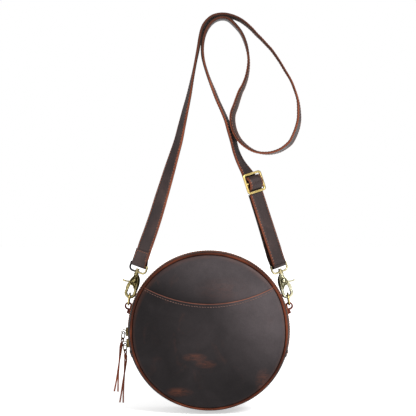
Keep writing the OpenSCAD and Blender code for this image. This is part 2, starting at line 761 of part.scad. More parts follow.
// Stands a strap's cross profile of face depth and run at a bar, then sweeps it across
module at_strap(at, run, turn, w) {
  n = outward(run, turn);
  a = cross(run, n);
  translate([0, tab_back, 0]) multmatrix([[n[0], run[0], -a[0], at[0]],
    [n[1], run[1], -a[1], at[1]], [n[2], run[2], -a[2], at[2]], [0, 0, 0, 1]])
    translate([0, 0, -w / 2]) linear_extrude(w) children();
}
module strap_fold_left() {
  outer = bar_hole_r + strap_t;
  color(leather) placed() at_strap(left_bar, left_run, left_turn_angle, strap_w) {
    difference() {
      union() {
        circle(r = outer);
        polygon([[-outer, 0], [outer, 0], [strap_r + flap_t, fold_close],
          [-strap_r, fold_close]]);
      }
      circle(r = bar_hole_r);
    }
    translate([strap_r + pin_gap, fold_close]) square([flap_t - pin_gap, flap_l - fold_close]);
  }
}
module strap_fold_right() {
  outer = bar_hole_r + strap_t;
  color(leather) placed() at_strap(right_bar, right_run, right_turn_angle, strap_w)
    difference() {
      circle(r = outer);
      circle(r = bar_hole_r);
      translate([-overrun, -2 * overrun]) square(2 * overrun);
    }
}

// Slide buckle over the strap, standing in the strap's own plane
module at_buckle() {
  n = outward(right_run, right_turn_angle);
  a = cross(right_run, n);
  at = right_bar - right_run * buckle_up + n * fold_n;
  translate([0, tab_back, 0]) multmatrix([[a[0], right_run[0], n[0], at[0]],
    [a[1], right_run[1], n[1], at[1]], [a[2], right_run[2], n[2], at[2]], [0, 0, 0, 1]])
    children();
}
module rounded(w, l, r) {
  square([w, l - 2 * r], center = true);
  square([w - 2 * r, l], center = true);
  for (x = [-1, 1], y = [-1, 1]) translate([x * (w / 2 - r), y * (l / 2 - r)]) circle(r = r);
}
module buckle() {
  inner = buckle_w - 2 * buckle_bar_w;
  color(brass) placed() at_buckle() {
    translate([0, 0, buckle_n - buckle_bar_t / 2]) linear_extrude(buckle_bar_t) difference() {
      rounded(buckle_w, buckle_l, buckle_corner_r);
      rounded(inner, buckle_l - 2 * buckle_bar_w, buckle_corner_r / 4);
    }
    translate([-inner / 2 - buckle_bar_w / 2, 0, buckle_n - buckle_bar_t / 2 + centre_bar_r])
      rotate([0, 90, 0]) cylinder(r = centre_bar_r, h = inner + buckle_bar_w);
  }
}
module strap_bight() {
  color(leather) placed() at_buckle() difference() {
    translate([-bight_w / 2, 0, bight_top_n - bight_r]) rotate([0, 90, 0])
      difference() {
        cylinder(r = bight_r, h = bight_w, $fn = 2 * $fn);
        translate([0, 0, -bight_w]) cylinder(r = bight_r - strap_t, h = 3 * bight_w,
          $fn = 2 * $fn);
      }
    translate([-overrun, -overrun, bight_low_n - 2 * overrun]) cube(2 * overrun);
  }
}

// Places of the moving pieces from the hanging point, for the record
echo(bag = -hang, fold = [0, -pocket_y, fold_z] - hang);
echo(bars = [for (k = [left, right]) [clip_top(k)[0], tab_back, clip_top(k)[1]] - hang]);
echo(links = [for (k = [left, right]) [link_x(k), tab_back, link_z] - hang]);
echo(feet = [for (k = [left, right]) [ring_foot(k), tab_back, ring_foot_z] - hang]);
echo(runs = [left_run, right_run], across = [cross(left_run, outward(left_run, left_turn_angle)),
  cross(right_run, outward(right_run, right_turn_angle))]);
echo(pivots = [for (k = [left, right]) [clip_top(k)[0] + pivot_s * clip_down(k)[0]
  + pivot_out * k * cos(clip_lean_angle), tab_back, clip_top(k)[1] + pivot_s * clip_down(k)[1]
  + pivot_out * sin(clip_lean_angle)] - hang]);
echo(lugs = [for (a = [slider_lower_angle, slider_upper_angle])
  [lug_centre_r * cos(a), zip_y, lug_centre_r * sin(a)] - hang]);

back_panel();
back_board();
back_lining();
back_piping();
lower_gusset();
gusset_lining();
zip_strip_back();
zip_tape_back();
zip_teeth_back();
zip_stops();
front_panel_lower();
front_board_lower();
front_lining_lower();
pocket_lower();
front_piping_lower();
front_panel_upper();
front_board_upper();
front_lining_upper();
pocket_upper();
front_piping_upper();
zip_strip_front();
zip_tape_front();
zip_teeth_front();
slider_lower();
slider_upper();
pull_ring_lower();
pull_ring_upper();
thong_lower();
thong_upper();
tab_left();
tab_right();
ring_left();
ring_right();
eye_left();
eye_right();
hook_left();
hook_right();
trigger_left();
trigger_right();
trigger_pin_left();
trigger_pin_right();
trigger_spring_left();
trigger_spring_right();
strap_long();
strap_fold_left();
strap_fold_right();
strap_return();
buckle();
strap_bight();
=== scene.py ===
"""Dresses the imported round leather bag: leather, stitching, zip, antique brass, strap and thongs."""
import bpy
import json
from math import acos, copysign, cos, degrees, exp, hypot, pi, radians, sin, sqrt
from mathutils import Matrix, Vector, noise

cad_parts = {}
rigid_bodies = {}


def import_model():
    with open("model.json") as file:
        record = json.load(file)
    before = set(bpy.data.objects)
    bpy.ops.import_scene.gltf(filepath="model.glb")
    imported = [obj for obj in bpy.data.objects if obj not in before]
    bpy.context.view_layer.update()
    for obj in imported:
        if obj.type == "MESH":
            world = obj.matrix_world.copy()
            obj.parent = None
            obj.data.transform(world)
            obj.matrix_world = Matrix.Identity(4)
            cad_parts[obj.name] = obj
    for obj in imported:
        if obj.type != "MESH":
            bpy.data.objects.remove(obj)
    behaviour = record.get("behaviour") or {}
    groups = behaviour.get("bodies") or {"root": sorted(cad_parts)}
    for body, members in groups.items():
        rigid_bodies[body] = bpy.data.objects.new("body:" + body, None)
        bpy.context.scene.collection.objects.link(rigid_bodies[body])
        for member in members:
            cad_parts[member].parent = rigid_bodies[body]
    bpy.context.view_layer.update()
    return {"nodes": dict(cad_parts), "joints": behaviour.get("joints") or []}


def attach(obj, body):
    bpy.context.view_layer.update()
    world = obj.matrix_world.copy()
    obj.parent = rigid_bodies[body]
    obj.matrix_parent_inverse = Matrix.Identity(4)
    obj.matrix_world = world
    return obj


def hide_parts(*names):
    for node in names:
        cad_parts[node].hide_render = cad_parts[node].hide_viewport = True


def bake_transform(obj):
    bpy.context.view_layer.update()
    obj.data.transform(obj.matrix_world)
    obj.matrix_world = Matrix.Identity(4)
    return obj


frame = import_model()

# Pieces are drawn in mm from the bag's centre, which lies here from the row's origin
HANG = Vector((17.5, 7.0, 385.4))


def metres(x, y, z):
    """A place in the row's frame, from mm about the bag's centre."""
    return (Vector((x, y, z)) - HANG) * 0.001


def srgb(colour):
    """A colour in display values of 0 to 255 as the linear one that shaders take."""
    parts = [c / 255.0 for c in colour]
    return (*(c / 12.92 if c <= 0.04045 else ((c + 0.055) / 1.055) ** 2.4 for c in parts), 1.0)


# Camera: level, before the bag's front
cam_data = bpy.data.cameras.new("camera")
cam_data.lens = 105
cam_data.sensor_width = 36
cam = bpy.data.objects.new("camera", cam_data)
bpy.context.scene.collection.objects.link(cam)
cam.location = metres(-1.0, -1498.0, 151.0)
cam.rotation_euler = (radians(90), 0, 0)
bpy.context.scene.camera = cam


# Materials
class Nodes:
    """Short way to write a node tree; an input is a value or another node's output."""

    def __init__(self, tree):
        self.tree = tree
        self.tree.nodes.clear()

    def new(self, kind, **inputs):
        """A node with its inputs, and its settings where a name starts with an underscore."""
        n = self.tree.nodes.new(kind)
        for key, value in inputs.items():
            if key.startswith("_"):
                setattr(n, key[1:], value)
            else:
                self.put(n, key.replace("_", " "), value)
        return n

    def put(self, node, key, value):
        if isinstance(value, bpy.types.NodeSocket):
            self.tree.links.new(value, node.inputs[key])
        else:
            node.inputs[key].default_value = value

    def chain(self, kind, inputs, **settings):
        """A node whose inputs are given by number."""
        n = self.new(kind, **settings)
        for key, value in inputs.items():
            self.put(n, key, value)
        return n

    def math(self, operation, a, b=0.0, c=0.0):
        return self.chain("ShaderNodeMath", {0: a, 1: b, 2: c}, _operation=operation).outputs[0]

    def vector(self, operation, a, b=(0, 0, 0)):
        n = self.chain("ShaderNodeVectorMath", {0: a, 1: b}, _operation=operation)
        return n.outputs["Value" if operation == "LENGTH" else "Vector"]


class Surface(Nodes):
    """A material, with patterns that stay put on the piece when it bends or moves."""

    def __init__(self, name):
        self.material = bpy.data.materials.new(name)
        self.material.use_nodes = True
        super().__init__(self.material.node_tree)
        self.shader = self.new("ShaderNodeBsdfPrincipled")
        self.new("ShaderNodeOutputMaterial", Surface=self.shader.outputs[0])
        self.place = self.new("ShaderNodeAttribute", _attribute_name="place").outputs["Vector"]

    def done(self, **inputs):
        """Sets the shader's inputs and gives the material."""
        for key, value in inputs.items():
            self.put(self.shader, key.replace("_", " "), value)
        return self.material

    def coords(self, scale=(1, 1, 1)):
        """The place at rest in mm, with each axis scaled."""
        scale = tuple(1000.0 * s for s in scale)
        return self.new("ShaderNodeMapping", Vector=self.place, Scale=scale).outputs[0]

    def noise(self, scale, detail=3, rough=0.5, stretch=(1, 1, 1), distortion=0.0):
        return self.new("ShaderNodeTexNoise", Vector=self.coords(stretch), Scale=scale, Detail=detail,
                        Roughness=rough, Distortion=distortion).outputs["Fac"]

    def ramp(self, fac, stops):
        """A colour for each value, from (value, colour) stops."""
        n = self.new("ShaderNodeValToRGB", Fac=fac)
        elements = n.color_ramp.elements
        while len(elements) < len(stops):
            elements.new(0.5)
        for element, (at, colour) in zip(elements, stops):
            element.position = at
            element.color = colour
        return n.outputs[0]

    def grey(self, fac, low, high, a=0.0, b=1.0):
        """A value that runs from a to b while fac runs from low to high."""
        return self.ramp(fac, [(low, (a, a, a, 1)), (high, (b, b, b, 1))])

    def mix(self, fac, a, b, blend="MIX"):
        n = self.chain("ShaderNodeMix", {0: fac, 6: a, 7: b}, _data_type="RGBA", _blend_type=blend)
        return n.outputs[2]

    def spot(self, centre, radii):
        """1 at a place on the object, falling to 0 at the radii, in mm."""
        away = self.vector("SUBTRACT", self.coords(), tuple(Vector(centre) - HANG))
        return self.grey(self.vector("LENGTH", self.vector("DIVIDE", away, radii)), 0.0, 1.0, 1.0, 0.0)

    def bag_radius(self):
        """Distance from the bag's axis in mm."""
        away = self.vector("SUBTRACT", self.coords(), tuple(-HANG))
        return self.vector("LENGTH", self.vector("MULTIPLY", away, (1, 0, 1)))

    def bump(self, *layers):
        """Stacks bumps, each a height, a strength and a depth in mm."""
        normal = None
        for height, strength, depth in layers:
            n = self.new("ShaderNodeBump", Strength=strength, Distance=depth * 0.001, Height=height)
            if normal is not None:
                self.put(n, "Normal", normal)
            normal = n.outputs[0]
        self.put(self.shader, "Normal", normal)


# The scuff brown is the leather's base; the second colour is the grey of a painted sheen and the third the
# near black of painted shade
SCUFF, SHEEN_GREY, TOP_SHADE = (96, 54, 38), (106, 97, 99), (0.012, 0.007, 0.005, 1)
RIM_FROM, RIM_TO = 88.5, 94.0


def leather(name, dark, mid, light, scuff, rough=(0.42, 0.62), scuffs=0.35, rim=False,
            spots=(), grain=1.0, gloss=0.3, sheen_spots=(), fade=0.0):
    """Oiled leather: cloudy tone, scuffs that show its brown base, and painted sheen, a lighter grey where a
    lamp's highlight falls.

    Spots and sheen spots are (centre, radii, amount), rim scuffs a panel's edge, and fade is painted shade
    that darkens towards the strap's top.
    """
    n = Surface(name)
    dark = srgb(dark)
    cloud = n.noise(0.018, 5, 0.6, distortion=0.6)
    tone = n.ramp(cloud, [(0.3, dark), (0.52, srgb(mid)), (0.72, srgb(light))])
    streak = n.grey(n.noise(0.05, 6, 0.65, (1, 1, 0.55), 1.2), 0.58, 0.8)
    mask = n.math("MULTIPLY", streak, scuffs)
    for centre, radii, amount in spots:
        torn = n.grey(n.noise(0.09, 6, 0.75, (0.7, 1, 2.4), 1.2), 0.36, 0.6)
        patch = n.math("MULTIPLY", n.spot(centre, radii), torn)
        mask = n.math("ADD", mask, n.math("MULTIPLY", patch, amount))
    if rim:
        near = n.new("ShaderNodeMapRange", Value=n.bag_radius(), From_Min=RIM_FROM, From_Max=RIM_TO)
        torn = n.grey(n.noise(0.06, 4), 0.35, 0.65, 0.1, 0.55)
        mask = n.math("ADD", mask, n.math("MULTIPLY", near.outputs[0], torn))
    tone = n.mix(n.math("MINIMUM", mask, 1.0), tone, srgb(scuff))
    # Painted sheen: lighter grey patches where a lamp's highlight falls
    for centre, radii, amount in sheen_spots:
        cloudy = n.grey(n.noise(0.035, 7, 0.72), 0.3, 0.7, 0.66, 1.08)
        patch = n.math("MULTIPLY", n.spot(centre, radii), cloudy)
        tone = n.mix(n.math("MULTIPLY", patch, amount), tone, srgb(SHEEN_GREY))
    fine = n.grey(n.noise(0.9, 4, 0.7), 0.3, 0.7, 0.0, 0.35)
    tone = n.mix(fine, tone, n.mix(0.5, tone, dark, "MULTIPLY"))
    # Painted shade: the colour darkens to near black towards the strap's top
    if fade:
        height = n.new("ShaderNodeSeparateXYZ", Vector=n.coords()).outputs[2]
        high = n.grey(n.math("MULTIPLY_ADD", height, 0.012, 1.35), 0.05, 0.95, 0.0, fade)
        tone = n.mix(high, tone, TOP_SHADE)
    pores = n.new("ShaderNodeTexVoronoi", Vector=n.coords(), Scale=1.05 * grain).outputs["Distance"]
    wrinkle = n.noise(0.16, 6, 0.65, distortion=0.8)
    n.bump((n.noise(0.03, 3), 0.5, 1.2), (wrinkle, 0.35, 0.5), (pores, 0.35, 0.12 / grain))
    return n.done(Base_Color=tone, Specular_IOR_Level=gloss,
                  Roughness=n.grey(n.noise(0.04, 5, 0.6), 0.3, 0.7, *rough))


def suede(name, dark, light):
    """The flesh side of leather."""
    n = Surface(name)
    n.bump((n.noise(1.6, 5, 0.8), 0.5, 0.18), (n.noise(0.2, 4), 0.3, 0.4))
    return n.done(Base_Color=n.ramp(n.noise(0.05, 6, 0.7), [(0.3, srgb(dark)), (0.7, srgb(light))]),
                  Roughness=0.85, Sheen_Weight=0.06, Specular_IOR_Level=0.2)


def brass(name, low, mid, high, rough=0.3, tarnish=0.55, dark_sides=0.0, shade_spot=None):
    """Metal with patina; its faces that don't look to the front or back are painted dark, a painted
    reflection, and a spot can paint one side dark as painted shade.
    """
    n = Surface(name)
    base = n.ramp(n.noise(0.12, 4, 0.6), [(0.3, srgb(mid)), (0.7, srgb(high))])
    dirt = n.grey(n.noise(0.32, 6, 0.7, distortion=0.5), 0.42, 0.68)
    facing = n.new("ShaderNodeSeparateXYZ", Vector=n.new("ShaderNodeTexCoord").outputs["Normal"]).outputs[1]
    # Painted reflection: faces that don't look to the front or back are darkened
    side = n.grey(n.math("ABSOLUTE", facing), 0.3, 0.95, dark_sides, 0.0)
    mask = n.math("MAXIMUM", n.math("MULTIPLY", dirt, tarnish), side)
    # Painted shade: one side of the piece darkened round a spot
    if shade_spot:
        mask = n.math("MAXIMUM", mask, n.grey(n.spot(*shade_spot), 0.0, 0.5))
    n.bump((n.noise(0.9, 4), 0.18, 0.12), (n.noise(3.0, 2), 0.12, 0.03))
    return n.done(Base_Color=n.mix(mask, base, srgb(low)), Metallic=1.0,
                  Roughness=n.grey(n.noise(0.5, 5, 0.7), 0.3, 0.75, rough, rough + 0.22))


def weave(name, dark, light, pitch):
    """Plain woven cloth, its threads at a pitch in mm."""
    n = Surface(name)
    light = srgb(light)
    ways = [n.new("ShaderNodeTexWave", _wave_type="BANDS", _bands_direction=way, Vector=n.coords(),
                  Scale=1.0 / pitch, Distortion=0.6, Detail=1.0).outputs["Fac"] for way in "XZ"]
    both = n.math("MULTIPLY", *ways)
    tone = n.mix(n.grey(n.noise(0.06, 4), 0.3, 0.7), srgb(dark), light)
    tone = n.mix(n.grey(both, 0.0, 0.8, 0.0, 0.5), tone, n.mix(1.0, tone, light, "SCREEN"))
    n.bump((both, 0.5, 0.15), (n.noise(0.05, 3), 0.4, 1.0))
    return n.done(Base_Color=tone, Roughness=0.85, Sheen_Weight=0.2)


def thread(name, dark, light):
    """Waxed sewing thread."""
    n = Surface(name)
    n.bump((n.noise(4.0, 3), 0.4, 0.06))
    return n.done(Base_Color=n.ramp(n.noise(0.4, 3), [(0.3, srgb(dark)), (0.7, srgb(light))]), Roughness=0.6)


# The pieces' materials


# The panel's sheen spots at its top, right and middle are painted sheen, a lamp's highlight; its other spots
# are scuffs
panel_leather = leather(
    "panel_leather", (17, 13, 14), (25, 21, 22), (36, 31, 32), SCUFF, rim=True, gloss=0.14, scuffs=0.15,
    sheen_spots=(((66, -34, 46), (70, 60, 60), 0.5), ((6, -34, 82), (96, 60, 44), 0.42),
           ((78, -34, 0), (64, 60, 70), 0.4), ((20, -34, 10), (90, 60, 80), 0.12)),
    spots=(((-17, -34, -29), (17, 20, 6), 0.85), ((-4, -34, -37), (15, 20, 6), 0.8),
           ((-36, -34, -71), (19, 20, 7), 0.7), ((66, -34, -57), (11, 20, 17), 0.7),
           ((20, -34, 52), (40, 20, 18), 0.25)))
plain_leather = leather("plain_leather", (26, 19, 18), (38, 29, 28), (58, 45, 42), SCUFF, gloss=0.05)
strap_leather = leather("strap_leather", (33, 24, 24), (49, 36, 35), (71, 54, 51), SCUFF,
                        scuffs=0.25, grain=1.3)
edge_leather = leather("edge_leather", (46, 21, 13), (77, 37, 23), (126, 64, 41), (33, 17, 12),
                       rough=(0.45, 0.65), scuffs=0.7, gloss=0.1)
# Both cut edge colours darken towards the strap's top: painted shade
raw_edge = leather("raw_edge", (88, 44, 28), (128, 68, 45), (160, 92, 62), (60, 32, 22),
                   rough=(0.55, 0.75), scuffs=0.5, gloss=0.12, fade=0.72)
dark_edge = leather("dark_edge", (26, 17, 15), (42, 27, 23), (60, 38, 31), (84, 46, 32),
                    rough=(0.5, 0.7), scuffs=0.5, gloss=0.1, fade=0.7)
lip_leather = leather("lip_leather", (84, 46, 34), (112, 64, 48), (140, 86, 66), (52, 30, 24),
                      rough=(0.5, 0.7), scuffs=0.4)
tab_leather = leather("tab_leather", (72, 26, 15), (112, 44, 25), (142, 64, 38), (48, 20, 14),
                      rough=(0.4, 0.6), scuffs=0.5)
lace_leather = leather("lace_leather", (78, 34, 19), (114, 54, 31), (142, 72, 42), (52, 26, 17),
                       rough=(0.45, 0.65), scuffs=0.5, gloss=0.15)
lace_edge = leather("lace_edge", (84, 42, 26), (122, 66, 42), (150, 88, 58), (60, 32, 22),
                    rough=(0.55, 0.75), scuffs=0.5, gloss=0.1)
inner_leather = suede("inner_leather", (40, 27, 24), (68, 47, 40))
# The left hook's brass and patina and the right hook's paler ones are one antique metal: the left copy is
# painted darker as painted shade and the right paler as painted light, and the left eye is likewise darker
# than the right; the patina in both is real
antique = brass("antique", (24, 20, 13), (112, 100, 60), (206, 192, 138), 0.28, 0.75, 0.95)
patina = brass("patina", (26, 22, 15), (70, 63, 40), (120, 108, 70), 0.36, 0.6)
pale_lit_brass = brass("pale_lit_brass", (70, 64, 46), (190, 184, 148), (232, 228, 200), 0.26, 0.45, 0.75)
pale_lit_patina = brass("pale_lit_patina", (80, 76, 58), (150, 146, 118), (190, 186, 156), 0.34, 0.5)
# Black patina in the rivets' seats, and a painted dark reflection along the hooks' spines
black_patina_and_shade = brass("black_patina_and_shade", (12, 11, 9), (30, 28, 20), (58, 54, 36), 0.35, 0.6)
# A spot paints the left eye's left half and the right eye's right half dark: painted shade
eye_brass_left = brass("eye_brass_left", (34, 33, 34), (160, 144, 90), (222, 208, 158), 0.28, 0.4, 0.85,
                       ((-97, 7, 80), (14, 30, 16)))
eye_brass_right = brass("eye_brass_right", (66, 62, 52), (200, 186, 134), (240, 228, 184), 0.26, 0.3, 0.85,
                        ((81, 7, 84), (11, 30, 15)))
dark_brass = brass("dark_brass", (20, 17, 12), (70, 61, 38), (132, 118, 74), 0.32, 0.65, 0.95)
golden = brass("golden", (84, 66, 30), (196, 168, 92), (236, 216, 150), 0.26, 0.3, 0.8)
zip_metal = brass("zip_metal", (48, 40, 24), (168, 146, 88), (206, 186, 130), 0.3, 0.4)
dark_steel = brass("dark_steel", (50, 48, 46), (120, 118, 114), (160, 158, 154), 0.3, 0.3)
tape_cloth = weave("tape_cloth", (26, 20, 20), (44, 36, 34), 0.6)
lining_cloth = weave("lining_cloth", (92, 66, 48), (124, 94, 70), 0.7)
stitch_thread = thread("stitch_thread", (140, 76, 48), (184, 112, 74))
pocket_thread = thread("pocket_thread", (92, 62, 54), (128, 92, 80))
strap_thread = thread("strap_thread", (120, 66, 46), (160, 96, 68))

# Mesh helpers
TURN = 2 * pi
made = []


def mesh_object(name, verts, faces, mats, face_mats=None, smooth=True):
    """A new mesh in the scene, from vertices in metres."""
    me = bpy.data.meshes.new(name)
    me.from_pydata([tuple(v) for v in verts], [], faces)
    for m in mats:
        me.materials.append(m)
    if face_mats:
        me.polygons.foreach_set("material_index", face_mats)
    me.polygons.foreach_set("use_smooth", [smooth] * len(me.polygons))
    me.update()
    o = bpy.data.objects.new(name, me)
    bpy.context.scene.collection.objects.link(o)
    made.append(name)
    return o


def sweep(rings, closed_path=False):
    """Vertices, faces and each face's row for closed rings of equal length; its two caps are row -1."""
    n, k = len(rings), len(rings[0])
    faces, rows = [], []
    for i in range(n if closed_path else n - 1):
        for j in range(k):
            here, there, beside = i * k, ((i + 1) % n) * k, (j + 1) % k
            faces.append((here + j, here + beside, there + beside, there + j))
            rows.append(j)
    if not closed_path:
        faces.append(tuple(reversed(range(k))))
        faces.append(tuple(range((n - 1) * k, n * k)))
        rows += [-1, -1]
    return [v for r in rings for v in r], faces, rows


def swept(name, rings, mats, closed_path=False, row_mats=()):
    """A mesh through closed rings, with a material for each row round them; the last one is the caps' too."""
    v, f, rows = sweep(rings, closed_path)
    return mesh_object(name, v, f, mats, [row_mats[r] for r in rows] if row_mats else None)


def wobble(x, y, z, size, amount, seed=0.0):
    """Unevenness of worked leather."""
    return amount * noise.noise(Vector((x / size + seed, y / size - seed, z / size + 2 * seed)))


def ring_point(r, y, deg):
    """A place at a radius and an angle about the bag's axis, from +X to +Z."""
    a = radians(deg)
    return Vector((r * cos(a), y, r * sin(a)))


def lathe(name, profile, start, end, steps, mats, cut=(), bumpy=0.0, size=30.0, seed=0.0):
    """Turns a closed profile of (radius, y) about the bag's axis, from a start to an end in degrees.

    The rows in cut take the second material.
    """
    full = abs(end - start) >= 359.9
    rings = []
    for i in range(steps if full else steps + 1):
        deg = start + (end - start) * i / steps
        ring = []
        for r, y in profile:
            p = ring_point(r, y, deg)
            d = wobble(p.x, p.y, p.z, size, bumpy, seed) if bumpy else 0.0
            ring.append(metres(*ring_point(r + d, y, deg)))
        rings.append(ring)
    return swept(name, rings, mats, full, [1 if r in cut else 0 for r in range(len(profile))] + [0])


def heading(pts, i, closed=False):
    """Direction of a path at one of its points."""
    last = len(pts) - 1
    before, after = (i - 1, (i + 1) % (last + 1)) if closed else (max(i - 1, 0), min(i + 1, last))
    return (pts[after] - pts[before]).normalized()


def frames_along(pts, up, closed):
    """Two sides of the path at each point, carried along without twist."""
    out, side = [], up
    for i in range(len(pts)):
        t = heading(pts, i, closed)
        side = (side - t * side.dot(t)).normalized()
        out.append((side, t.cross(side)))
    return out


def tube(name, pts, radius, mats, n=12, closed=False, flat=1.0, up=Vector((0, 1, 0))):
    """A round or flat tube along points in mm; radius is a number or one for each point."""
    rings = []
    for i, (p, (side, other)) in enumerate(zip(pts, frames_along(pts, up, closed))):
        r = radius[i] if isinstance(radius, (list, tuple)) else radius
        turns = [TURN * k / n for k in range(n)]
        rings.append([metres(*(p + side * (r * cos(w)) + other * (r * flat * sin(w)))) for w in turns])
    return swept(name, rings, mats, closed)


STITCH_SHAPE = ((-0.8, 0.62), (-0.3, 0.95), (0.3, 0.95), (0.8, 0.62))
STITCH_SIDES = 6


def stitches(name, places, mats, length, width, height):
    """Short threads with pointed, sunk ends; each place is (middle, along, out) in mm."""
    verts, faces = [], []
    for mid, along, out in places:
        side = along.cross(out).normalized()
        slant = (along + side * 0.1).normalized()
        base = len(verts)
        verts.append(metres(*(mid - slant * (length / 2) - out * 0.12)))
        for u, s in STITCH_SHAPE:
            c = mid + slant * (u * length / 2)
            for q in range(STITCH_SIDES):
                w = TURN * q / STITCH_SIDES
                up = s * height * (0.35 + sin(w)) * 0.75
                verts.append(metres(*(c + side * (s * width / 2 * cos(w)) + out * up)))
        verts.append(metres(*(mid + slant * (length / 2) - out * 0.12)))
        first, last = base + 1, len(verts) - 1 - STITCH_SIDES
        for q in range(STITCH_SIDES):
            p = (q + 1) % STITCH_SIDES
            faces.append((base, first + p, first + q))
            for ring in range(first, last, STITCH_SIDES):
                faces.append((ring + q, ring + p, ring + STITCH_SIDES + p, ring + STITCH_SIDES + q))
            faces.append((last + q, last + p, len(verts) - 1))
    return mesh_object(name, verts, faces, mats)


def along_points(pts, pitch, start, stop=0.0):
    """Place, direction and stretch number at an even pitch along a path; start and stop are from its ends."""
    room = sum((b - a).length for a, b in zip(pts, pts[1:])) - stop
    out, walked = [], 0.0
    for i, (a, b) in enumerate(zip(pts, pts[1:])):
        d = (b - a).length
        while start <= walked + d and start < room:
            out.append((a + (b - a) * ((start - walked) / d), (b - a).normalized(), i))
            start += pitch
        walked += d
    return out


def join(name, objs):
    """Joins mesh objects made here into one."""
    verts, faces, face_mats, mats = [], [], [], []
    for o in objs:
        base = len(verts)
        verts += [v.co.copy() for v in o.data.vertices]
        for m in o.data.materials:
            if m not in mats:
                mats.append(m)
        for p in o.data.polygons:
            faces.append([base + i for i in p.vertices])
            face_mats.append(mats.index(o.data.materials[p.material_index]))
        bpy.data.objects.remove(o)
    return mesh_object(name, verts, faces, mats, face_mats)


# Bag shell: sizes in mm about the bag's centre
BAG_R, BACK_Y, PIPE_R, PIPE_Y, PIPE_THICK_R, PANEL_R = 100.0, 33.0, 94.25, 31.3, 1.5, 92.1
CROWN, BOARD_T, ROLL_FROM = 3.0, 2.8, 88.6
LINING_R, LINING_GAP, LINING_DISC_T = 90.0, 2.9, 0.7


def across_fold(o):
    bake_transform(o)


def disc(name, side, mats, shaped_y, flat_y, radius, rings, seg):
    """A round sheet with a shaped face towards side (-1 is the front) and a flat one behind it.

    shaped_y gives the shaped face's y from x, z and the radius; radius gives each ring's from its share.
    """
    verts, faces = [], []
    for shaped in (True, False):
        for i in range(rings + 1):
            r = radius(i / rings)
            for k in range(seg if i else 1):
                x, z = r * cos(TURN * k / seg), r * sin(TURN * k / seg)
                verts.append(metres(x, shaped_y(x, z, r) if shaped else flat_y, z))
    half = 1 + rings * seg
    last = half - seg
    for k in range(seg):
        n = (k + 1) % seg
        for base in (0, half):
            part = [(base, base + 1 + k, base + 1 + n)]
            for a in range(base + 1, base + last, seg):
                part.append((a + k, a + seg + k, a + seg + n, a + n))
            faces += part if (base == 0) == (side < 0) else [f[::-1] for f in part]
        rim = (last + k, half + last + k, half + last + n, last + n)
        faces.append(rim if side < 0 else rim[::-1])
    return mesh_object(name, verts, faces, mats)


def panel(name, side, seed):
    """A round panel whose outer face swells and rolls in at its edge."""
    def face(x, z, r):
        y = side * (BACK_Y + CROWN * (1 - (r / PANEL_R) ** 2) - 1.5 * max(0.0, (r - ROLL_FROM) / 3.5) ** 2)
        if r:
            y += wobble(x, 0, z, 34.0, 0.28, seed) + wobble(x, 0, z, 11.0, 0.07, seed + 3)
        return y
    return disc(name, side, [panel_leather], face, side * (BACK_Y - BOARD_T),
                lambda share: PANEL_R * sin(pi / 2 * share), 40, 160)


front = panel("front_leather", -1, 1.3)
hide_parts("front_panel_lower", "front_panel_upper", "front_board_lower", "front_board_upper")
across_fold(front)
back = panel("back_leather", 1, 8.1)
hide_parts("back_panel", "back_board")
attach(back, "bag")

# Slip pocket: lies on the panel below a curved mouth
POCKET_R, POCKET_LOW, POCKET_T, POCKET_ROLL_FROM = 159.0, 34.4, 1.6, 88.4
POCKET_Z = POCKET_LOW + POCKET_R
POCKET_EDGE_R = PANEL_R - 0.05


def mouth_z(x):
    """Height of the pocket's curved edge."""
    return POCKET_Z - sqrt(POCKET_R ** 2 - x * x)


def pocket_face(x, z, front_side=True):
    """The pocket's y on its front or back: it swells a little and gapes a hair at its mouth."""
    r = hypot(x, z)
    top = min(mouth_z(x), sqrt(max(0.0, POCKET_EDGE_R ** 2 - x * x)))
    gape = 0.5 * exp(-((top - z) / 9.0) ** 2) * max(0.0, 1 - (x / 78.0) ** 2)
    y = -BACK_Y - CROWN * (1 - (r / PANEL_R) ** 2) - 0.1 - gape
    if front_side:
        y += 1.9 * max(0.0, (r - POCKET_ROLL_FROM) / 3.7) ** 2 - POCKET_T
        y += wobble(x, 0, z, 30.0, 0.3, 5.0) + wobble(x, 0, z, 10.0, 0.08, 2.0)
    return y


def pocket_piece():
    columns, rows = 120, 70
    verts, faces, face_mats = [], [], []
    for front_side in (True, False):
        for i in range(columns + 1):
            x = -(PANEL_R - 0.1) * cos(pi * i / columns)
            reach = sqrt(max(0.0, POCKET_EDGE_R ** 2 - x * x))
            for j in range(rows + 1):
                share = j / rows + 0.12 * sin(TURN * j / rows) / pi
                z = -reach + (min(mouth_z(x), reach) + reach) * share
                verts.append(metres(x, pocket_face(x, z, front_side), z))
    k = rows + 1
    half = len(verts) // 2
    for base in (0, half):
        for i in range(columns):
            for a in range(base + i * k, base + i * k + rows):
                q = (a, a + k, a + k + 1, a + 1)
                faces.append(q if base == 0 else q[::-1])
                face_mats.append(0)
    for i in range(columns):
        low, top = i * k, i * k + rows
        faces += [(low, low + half, low + k + half, low + k), (top, top + k, top + k + half, top + half)]
        face_mats += [1, 1]
    return mesh_object("pocket_leather", verts, faces, [panel_leather, raw_edge], face_mats)


pocket = pocket_piece()
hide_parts("pocket_lower", "pocket_upper")
across_fold(pocket)
mouth_line = [Vector((0.78 * i, 0, mouth_z(0.78 * i))) for i in range(-99, 100)]
lip = [Vector((p.x, pocket_face(p.x, p.z) + 0.5, p.z - 0.2)) for p in mouth_line]
across_fold(tube("pocket_lip", lip, 0.6, [lip_leather], 10))
seam = [Vector((p.x * 0.982, 0, p.z - 3.4)) for p in mouth_line]
places = [(Vector((m.x, pocket_face(m.x, m.z) - 0.02, m.z)), d, Vector((0, -1, 0)))
          for m, d, _ in along_points(seam, 3.2, 1.6)]
across_fold(stitches("pocket_stitches", places, [pocket_thread], 2.6, 0.62, 0.4))


